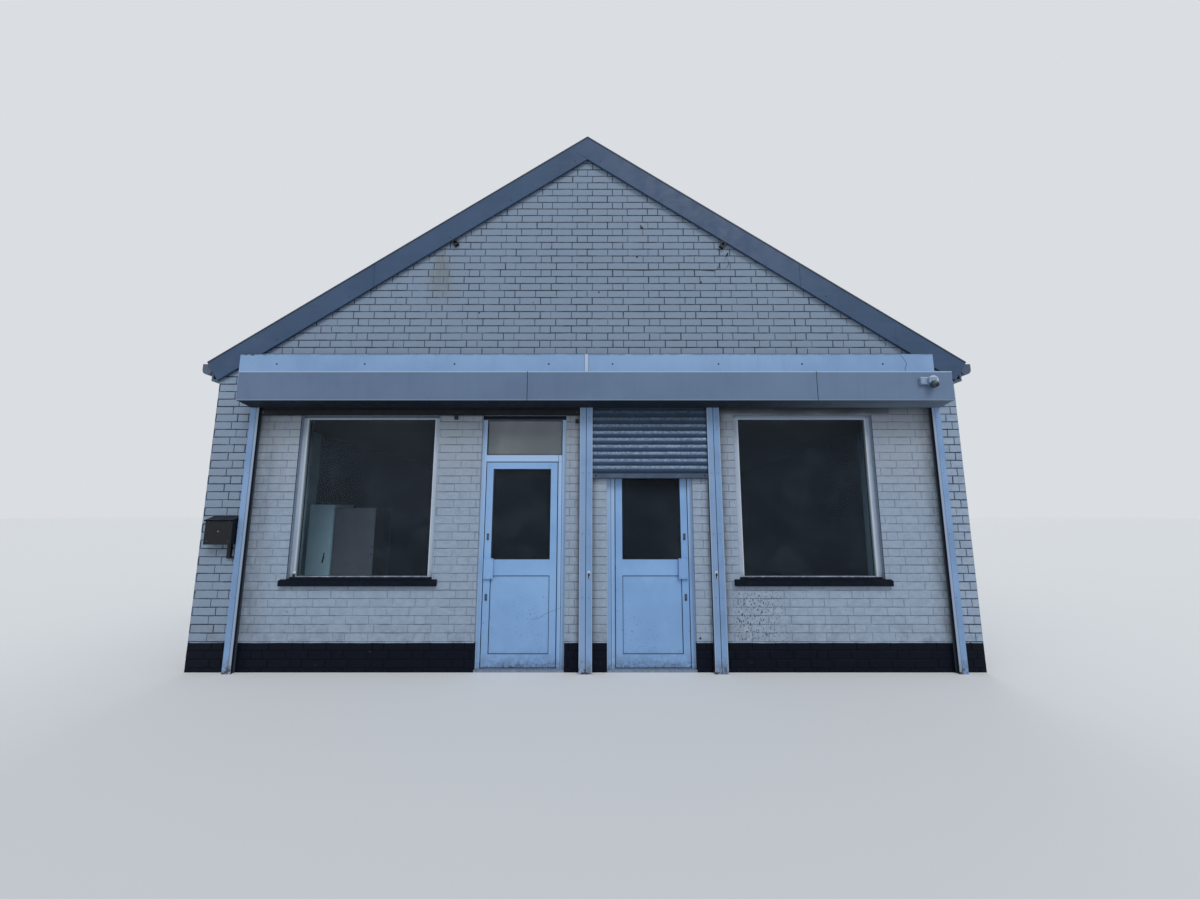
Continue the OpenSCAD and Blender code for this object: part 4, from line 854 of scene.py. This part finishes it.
def front_openings():
    """Doors, windows, sills and lintel, where the front wall has no bricks: (left, right, foot, head)."""
    sill_low, sill_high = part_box("window_sills")
    horn = 0.055
    holes = [(LINTEL_LOW.x, LINTEL_HIGH.x, LINTEL_LOW.z, LINTEL_HIGH.z)]
    for side in (-1, 1):
        for near, far, foot, head in ((DOOR_IN, DOOR_OUT, 0.0, HEAD), (WINDOW_IN, WINDOW_OUT, sill_low.z, HEAD),
                                      (WINDOW_IN - horn, WINDOW_OUT + horn, sill_low.z, sill_high.z - 0.004)):
            holes.append((*sorted((side * near, side * far)), foot, head))
    return holes


SIDE_TOP = high("left_wall").z - 0.16
brickwork("front_bricks", (-HALF, HALF), APEX_WALL, front_openings(), lambda u, v, h: (u, FRONT - h, v), 11,
          gable_reach, in_bay)
brickwork("rear_bricks", (-HALF, HALF), APEX_WALL, [], lambda u, v, h: (-u, REAR + h, v), 12, gable_reach)
brickwork("left_bricks", (FRONT, REAR), SIDE_TOP, [], lambda u, v, h: (-HALF - h, -u, v), 13)
brickwork("right_bricks", (FRONT, REAR), SIDE_TOP, [], lambda u, v, h: (HALF + h, u, v), 14)


# ---------------------------------------------------------------- roof

def slates(side):
    """Rows of slates on one slope: each lies on the row below it, with its lower edge lifted."""
    chance = random.Random(20 + side)
    width, gauge, length, thick, gap = 0.25, 0.2, 0.235, 0.005, 0.003
    y_low, y_high = low("left_roof_slope").y + 0.05, high("left_roof_slope").y - 0.05
    run = EDGE_X / math.cos(PITCH)
    verts, faces, tones = [], [], []

    def point(along, y, lift):
        """along is measured up the slope from the eaves."""
        x = EDGE_X - along * math.cos(PITCH) + lift * math.sin(PITCH)
        z = APEX - EDGE_X * FALL + along * math.sin(PITCH) + lift * math.cos(PITCH)
        return side * x, y, z

    row = 0
    while row * gauge < run - 0.05:
        foot = row * gauge - 0.012
        head = min(foot + length, run - 0.004)
        y = y_low - (width / 2 if row % 2 else 0)
        while y < y_high - 0.01:
            first, last = max(y + gap / 2, y_low), min(y + width - gap / 2, y_high)
            if last - first > 0.02:
                lift = 0.0055 + chance.uniform(-0.0006, 0.001)
                skew = chance.uniform(-0.003, 0.003)
                begin = len(verts)
                for out in (lift - thick, lift):
                    verts += [point(foot + skew, first, out), point(foot - skew, last, out)]
                verts += [point(head, first, 0.0006), point(head, last, 0.0006)]
                for face in ((0, 1, 3, 2), (2, 3, 5, 4), (0, 2, 4), (1, 5, 3)):
                    face = [begin + i for i in face]
                    faces.append(face if side > 0 else face[::-1])
                tones += [tone_of(chance, 0.25)] * 4
            y += width
        row += 1
    toned("slates", "left_slates" if side < 0 else "right_slates", verts, faces, tones, "slate")


def ridge_joints():
    """Bedding where the lengths of the ridge capping meet."""
    spacing, wing = 0.45, 0.148 * math.cos(PITCH)
    half = Vector((0.07, 0.006, 0.0015))
    y = low("ridge_capping").y + spacing
    with modelled("ridge_joints", "concrete", "roof_slate") as build:
        while y < high("ridge_capping").y - 0.2:
            for side in (-1, 1):
                middle = Vector((side * wing / 2, y, APEX + 0.0165 - wing / 2 * FALL))
                block(build, middle - half, middle + half, 0.0005, Matrix.Rotation(side * PITCH, 4, "Y"))
            y += spacing


def gutter_straps():
    """Bent straps that hold the gutters, and a wider coupling at every third place."""
    corner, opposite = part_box("gutters")
    radius, spacing = 0.0575, 0.6
    reach, outer = radius + 0.002, 1 + 0.002 / radius
    axis_x, axis_z = abs(corner.x) - radius, corner.z + radius
    rim = opposite.z - axis_z - 0.004
    bend = [-math.pi * i / 14 for i in range(15)]
    outline = [(reach, rim), *((reach * math.cos(turn), reach * math.sin(turn)) for turn in bend), (-reach, rim)]
    with modelled("gutter_straps", "gutter", "grey_plastic", even=True) as build:
        for side in (-1, 1):
            y = corner.y + 0.35
            count = 0
            while y < opposite.y - 0.2:
                half = 0.03 if count % 3 == 1 else 0.0125
                rows = [[build.verts.new((side * (axis_x + x * grow), depth, axis_z + z * grow)) for x, z in outline]
                        for depth in (y - half, y + half) for grow in (1.0, outer)]
                for first, second in ((0, 1), (1, 3), (3, 2)):
                    strips(build, (rows[first], rows[second]))
                y += spacing
                count += 1


for side in (-1, 1):
    slates(side)
ridge_joints()
gutter_straps()


# ---------------------------------------------------------------- boards, sign and their fixings

def sign_soffit():
    """Folded closing sheet under the sign casing: it falls towards the guides, with two stiffening folds."""
    corner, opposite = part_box("sign_casing")
    front, rear = corner.y + 0.004, GUIDE_FACE - 0.002
    top, fall = corner.z - 0.0004, 0.027
    profile = [(front, top)]
    for share in (0.12, 0.16, 0.48, 0.52, 1.0):
        lift = 0.004 if share in (0.16, 0.52) else 0.0
        profile.append((front + share * (rear - front), top - share * fall + lift))
    profile.append((rear, top))
    with modelled("sign_soffit", "soffit", "sign_grey", even=True) as build:
        ends = [[build.verts.new((x, y, z)) for y, z in profile] for x in (corner.x + 0.002, opposite.x - 0.002)]
        strips(build, ends, closed=True)
        build.faces.new(ends[0][::-1])
        build.faces.new(ends[1])


def screws():
    """Fixings of the name board, the sign face and the barge boards."""
    with modelled("board_screws", "dark_metal", "sign_grey") as build:
        for x in (-3.45, -2.47, -1.47, -0.42, 0.29, 1.47, 2.40, 3.30):
            stud(build, (x, low("name_board").y + 0.005, 3.266), 0.010, 0.004)
    corner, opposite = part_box("sign_face")
    with modelled("sign_screws", "screw", "sign_grey") as build:
        for x in (-3.66, -2.7, -1.66, -0.65, -0.59, 0.42, 1.43, 2.42, 2.48, 3.2, 3.86):
            for z in (corner.z + 0.022, opposite.z - 0.02):
                stud(build, (x, corner.y, z), 0.0045, 0.0025)
    with modelled("barge_screws", "dark_metal", "grey_board") as build:
        for x, z in ((-0.15, 5.80), (0.15, 5.80), (-1.6, 4.81), (1.6, 4.81), (-2.72, 4.08), (2.74, 4.08),
                     (-3.5, 3.56), (3.52, 3.56), (-0.9, 5.29), (0.88, 5.3)):
            stud(build, (x, BARGE_FACE, z), 0.008, 0.004)


# cracks: their corners (x, z), and their width at each in millimetres
BOARD_CRACK = ([(3.497, 3.385), (3.515, 3.358), (3.532, 3.335), (3.549, 3.306), (3.563, 3.277), (3.558, 3.248),
                (3.545, 3.219), (3.540, 3.18), (3.533, 3.15), (3.536, 3.118)],
               [3, 4, 4.5, 5, 5.5, 5, 5.5, 4, 3.5, 3])
BARGE_CRACKS = (([(3.42, 3.62), (3.455, 3.59), (3.49, 3.56), (3.50, 3.53), (3.515, 3.49), (3.52, 3.475)],
                 [1, 2.5, 3, 3, 3.5, 3]),
                ([(3.49, 3.70), (3.495, 3.65), (3.49, 3.60), (3.495, 3.56)], [0.8, 2, 2.5, 3]))
GABLE_CRACKS = (([(0.016, 4.423), (0.15, 4.432), (0.30, 4.429), (0.46, 4.426), (0.616, 4.422), (0.85, 4.427),
                  (1.082, 4.429), (1.20, 4.430), (1.315, 4.425), (1.467, 4.414), (1.51, 4.432), (1.535, 4.466),
                  (1.545, 4.509)],
                 [4, 11, 14, 14, 15, 13, 16, 15, 13, 13, 10, 8, 5]),
                ([(1.60, 4.43), (1.64, 4.47), (1.655, 4.52), (1.64, 4.56)], [2, 5, 6, 3]))
# plug holes in the bricks: x, z and radius
PLUG_HOLES = ((0.642, 4.959, 0.018), (0.630, 4.985, 0.010), (0.583, 4.59, 0.014), (1.322, 4.272, 0.011),
              (0.138, 4.148, 0.010), (-1.235, 3.898, 0.009), (-1.695, 4.603, 0.008), (-0.62, 4.02, 0.007),
              (1.19, 0.335, 0.012), (-2.9, 1.74, 0.007), (-3.12, 0.60, 0.006))


def cracks():
    """Cracks in the name board, the right barge and the gable, and old plug holes in the bricks."""
    with modelled("cracks", "rubber", "painted_brick") as build:
        for face, found in ((low("name_board").y + 0.0046, (BOARD_CRACK,)), (BARGE_FACE - 0.0004, BARGE_CRACKS),
                            (FRONT - 0.0058, GABLE_CRACKS)):
            for points, widths in found:
                ribbon(build, points, [width / 1000 for width in widths], face)
        for x, z, size in PLUG_HOLES:
            stud(build, (x, FRONT - 0.0045, z), size, 0.0022, sides=9)


def apex_filler():
    """Filler over the joint at the square end of the right barge board; the joint under it stays open."""
    top = Vector((-0.003, 6.1105))
    foot = top - Vector((math.sin(PITCH), math.cos(PITCH))) * 0.226
    with modelled("apex_filler", "barge_right", "grey_board") as build:
        ribbon(build, [tuple(top.lerp(foot, i / 8)) for i in range(9)], [0.008] * 9, BARGE_FACE - 0.0003)


sign_soffit()
screws()
cracks()
apex_filler()


# ---------------------------------------------------------------- doors and windows

def seals():
    """Rubber seals round the glass of the windows, fanlights and doors, and round the doors' lower panels."""
    inner, outer = low("window_glass").y, high("window_glass").y
    with modelled("glass_seals", "rubber", "white_aluminium") as build:
        for side in (-1, 1):
            x = sorted((side * (WINDOW_IN + 0.068), side * (WINDOW_OUT - 0.068)))
            z = (low("right_window_frame").z + 0.025, HEAD - 0.0403)
            ring_frame(build, x, z, (inner - 0.003, inner), 0.004)
            ring_frame(build, x, z, (outer + 0.003, outer), 0.004)
            x = sorted((side * (DOOR_IN + 0.046), side * (DOOR_OUT - 0.048)))
            ring_frame(build, x, (2.257, HEAD - 0.0453), (inner - 0.005, inner), 0.009)
    lap = 0.0117
    for door in ("left_door", "right_door"):
        with modelled(door + "_seals", "rubber", "white_aluminium", door) as build:
            for filling, proud in (("_glass", 0.006), ("_panel", 0.009)):
                corner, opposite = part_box(door + filling)
                ring_frame(build, (corner.x + lap, opposite.x - lap), (corner.z + lap, opposite.z - lap),
                           (corner.y - proud, corner.y), 0.0055)


def lock_details():
    """Dark faces and keyways of the leaf locks and bullet locks, and the screws of the latch guards."""
    for side, door in ((-1, "left_door"), (1, "right_door")):
        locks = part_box(door + "_locks")
        edge = locks[1].x if side > 0 else locks[0].x
        x, plate = edge - side * 0.030, low(door + "_leaf").y - 0.0056
        with modelled(door + "_keyways", "dark_metal", "white_aluminium", door) as build:
            for z in (0.736, 1.368):
                block(build, (x - 0.0065, plate - 0.0072, z - 0.015), (x + 0.0065, plate - 0.0062, z + 0.015), 0.0005)
                block(build, (x - 0.012, plate - 0.0006, z - 0.034), (x + 0.012, plate + 0.0002, z + 0.034), 0.0003)
        with modelled(door + "_guard_screws", "screw", "white_aluminium", door) as build:
            for inward in (0.018, 0.082):
                for z in (0.946, 1.125):
                    stud(build, (edge - side * inward, locks[0].y, z), 0.004, 0.002)
    corner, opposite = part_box("bullet_locks")
    with modelled("bullet_keyways", "rubber", "guide_paint") as build:
        for x in (corner.x + 0.015, opposite.x - 0.015):
            for z in (0.974, 0.980, 0.986, 0.992):
                stud(build, (x, corner.y, z), 0.0105, 0.0012 + 0.15 * (z - 0.974))
            for z in (0.952, 0.9555):
                stud(build, (x, corner.y + 0.008, z), 0.0075, 0.0012)


def guide_rivets():
    with modelled("guide_rivets", "screw", "guide_paint") as build:
        for x in (-3.645, -0.034, 0.034, 1.355, 1.423, 3.845):
            for z in (0.12, 0.75, 1.4, 2.05, 2.66):
                stud(build, (x, GUIDE_FACE, z), 0.0055, 0.0025)


def camera_details():
    """Lens of the security camera, and the cover of its junction box."""
    ball, toward = camera_ball(), Vector((0.35, -1, -0.45)).normalized()
    left, cover = low("security_camera").x, FRONT - 0.28 - 0.0303
    with modelled("camera_lens", "rubber", "white_plastic") as build:
        stud(build, ball + toward * 0.0335, 0.021, 0.009, toward, 24)
        stud(build, ball + toward * 0.0425, 0.011, 0.003, toward, 20)
        for z in (2.976, 3.002, 3.028):
            stud(build, (left + 0.008, cover, z), 0.004, 0.0015)
    with modelled("junction_cover", "white_plastic", "white_plastic") as build:
        ring_frame(build, (left + 0.004, left + 0.068), (2.967, 3.037), (cover - 0.0012, cover), 0.003)


def wall_box_details():
    """Sloping lid, lock and screws of the wall box."""
    corner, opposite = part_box("wall_box")
    lid_back, lid_front, brim = opposite.z + 0.002, opposite.z - 0.038, corner.y - 0.012
    with modelled("wall_box_lid", "black", "black_metal", even=True) as build:
        rows = [[build.verts.new((x, y, z + lift)) for x in (corner.x - 0.008, opposite.x + 0.004)
                 for lift in (0, 0.003)]
                for y, z in ((FRONT - 0.001, lid_back), (brim, lid_front - 0.004), (brim, lid_front - 0.016))]
        for first, second in zip(rows, rows[1:]):
            for a, b in ((0, 2), (3, 1), (1, 0), (2, 3)):
                build.faces.new((first[a], first[b], second[b], second[a]))
    middle = (corner.x + opposite.x) / 2
    with modelled("wall_box_screws", "screw", "black_metal") as build:
        stud(build, (middle, corner.y, 1.43), 0.009, 0.004)
        for along, z in ((-0.11, 1.33), (0.11, 1.33), (-0.11, 1.53), (0.11, 1.53)):
            stud(build, (middle + along, corner.y, z), 0.004, 0.002)


def rail_bolts():
    """Bolts near the ends of the shutters' bottom rails."""
    face, inset = FRONT - 0.04, 0.083
    with modelled("rail_bolts", "dark_metal", "galvanised_steel") as build:
        for shutter in ("left_shutter", "door_shutter", "right_shutter"):
            corner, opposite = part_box(shutter)
            for x in (corner.x + inset, opposite.x - inset):
                block(build, (x - 0.011, face - 0.004, corner.z + 0.022), (x + 0.011, face + 0.001, corner.z + 0.044))


def cabinet_fronts():
    """Doors, handle and locks of the two cabinets behind the left window."""
    corner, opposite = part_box("cabinets")
    face, foot, head = corner.y, corner.z, opposite.z
    left, right, brown_head = corner.x, corner.x + 0.331, corner.z + 1.672
    with modelled("cabinet_door", "cabinet", "cabinet_board") as build:
        block(build, (left + 0.004, face - 0.016, foot + 0.06), (left + 0.307, face, head - 0.004), 0.002)
    # dark body of the brown cabinet, its side standing in for painted shade
    with modelled("brown_cabinet", "cabinet_side", "cabinet_board") as build:
        block(build, (right - 0.001, face - 0.002, foot + 0.001),
              (opposite.x + 0.001, opposite.y + 0.001, brown_head + 0.002), 0.002)
    with modelled("brown_cabinet_door", "cabinet_brown", "cabinet_board") as build:
        block(build, (right + 0.002, face - 0.018, foot + 0.06),
              (opposite.x - 0.002, face - 0.002, brown_head - 0.004), 0.002)
    handle, lean = -3.395, Matrix.Rotation(math.radians(10), 4, "Y")
    with modelled("cabinet_handles", "dark_metal", "cabinet_board") as build:
        block(build, (handle - 0.008, face - 0.028, 0.996), (handle + 0.010, face - 0.015, 1.080), 0.003, lean)
        block(build, (handle + 0.004, face - 0.034, 1.060), (handle + 0.016, face - 0.022, 1.122), 0.003, lean)
        for z in (1.103, 1.195):
            stud(build, (-2.787, face - 0.018, z), 0.011, 0.005)


seals()
lock_details()
guide_rivets()
camera_details()
wall_box_details()
rail_bolts()
cabinet_fronts()


# ---------------------------------------------------------------- stage, light and camera

def backdrop():
    """Soft sky light, and a plain pale grey where the camera, a reflection or glass sees past the object."""
    world = bpy.context.scene.world or bpy.data.worlds.new("studio")
    bpy.context.scene.world = world
    world.use_nodes = True
    nodes, link = world.node_tree.nodes, world.node_tree.links.new
    nodes.clear()
    shades = []
    for colour, strength in (((0.93, 0.96, 1.0, 1.0), 0.5), (srgb(218, 222, 227), 1.0)):
        shade = nodes.new("ShaderNodeBackground")
        shade.inputs["Color"].default_value = colour
        shade.inputs["Strength"].default_value = strength
        shades.append(shade)
    path = nodes.new("ShaderNodeLightPath").outputs
    either, seen = nodes.new("ShaderNodeMath"), nodes.new("ShaderNodeMath")
    for node, first, second in ((either, path["Is Glossy Ray"], path["Is Transmission Ray"]),
                                (seen, path["Is Camera Ray"], either.outputs[0])):
        node.operation = "MAXIMUM"
        link(first, node.inputs[0])
        link(second, node.inputs[1])
    mixed = nodes.new("ShaderNodeMixShader")
    for socket, source in zip(mixed.inputs, (seen, *shades)):
        link(source.outputs[0], socket)
    link(mixed.outputs[0], nodes.new("ShaderNodeOutputWorld").inputs[0])


def add(name, data):
    made = bpy.data.objects.new(name, data)
    bpy.context.scene.collection.objects.link(made)
    return made


def ground():
    build = bmesh.new()
    bmesh.ops.create_grid(build, x_segments=1, y_segments=1, size=280)
    mesh = from_bmesh("floor", build)
    paint = Paint("floor_paper", (214, 217, 220), 0.9, specular=0.2)
    paint.over((208, 212, 216), paint.noise(0.3, 2) * 0.3)
    mesh.materials.append(paint.finish())
    floor = add("floor", mesh)


def lamps():
    """A soft key, a wide fill and a lamp for the rear: where each stands, its angle and its strength."""
    for name, toward, angle, strength in (("key", (6, -13, 15), 24, 1.5), ("fill", (-9, -15, 8), 60, 0.45),
                                          ("rear", (3, 16, 12), 50, 0.6)):
        light = bpy.data.lights.new(name, "SUN")
        light.angle, light.energy = math.radians(angle), strength
        add(name, light).rotation_euler = (-Vector(toward)).to_track_quat("-Z", "Y").to_euler()


def camera():
    """The photo's wide lens, at eye height on the pavement and tilted up a little."""
    data = bpy.data.cameras.new("camera")
    data.sensor_width, data.lens, data.clip_end = 36, 13.65, 1000
    eye = add("camera", data)
    eye.location = (0.15, -9.45, 1.598)
    eye.rotation_euler = (math.radians(90 + 8.22), 0, 0)
    bpy.context.scene.camera = eye


backdrop()
ground()
lamps()
camera()
bpy.context.scene.view_settings.view_transform = "Standard"
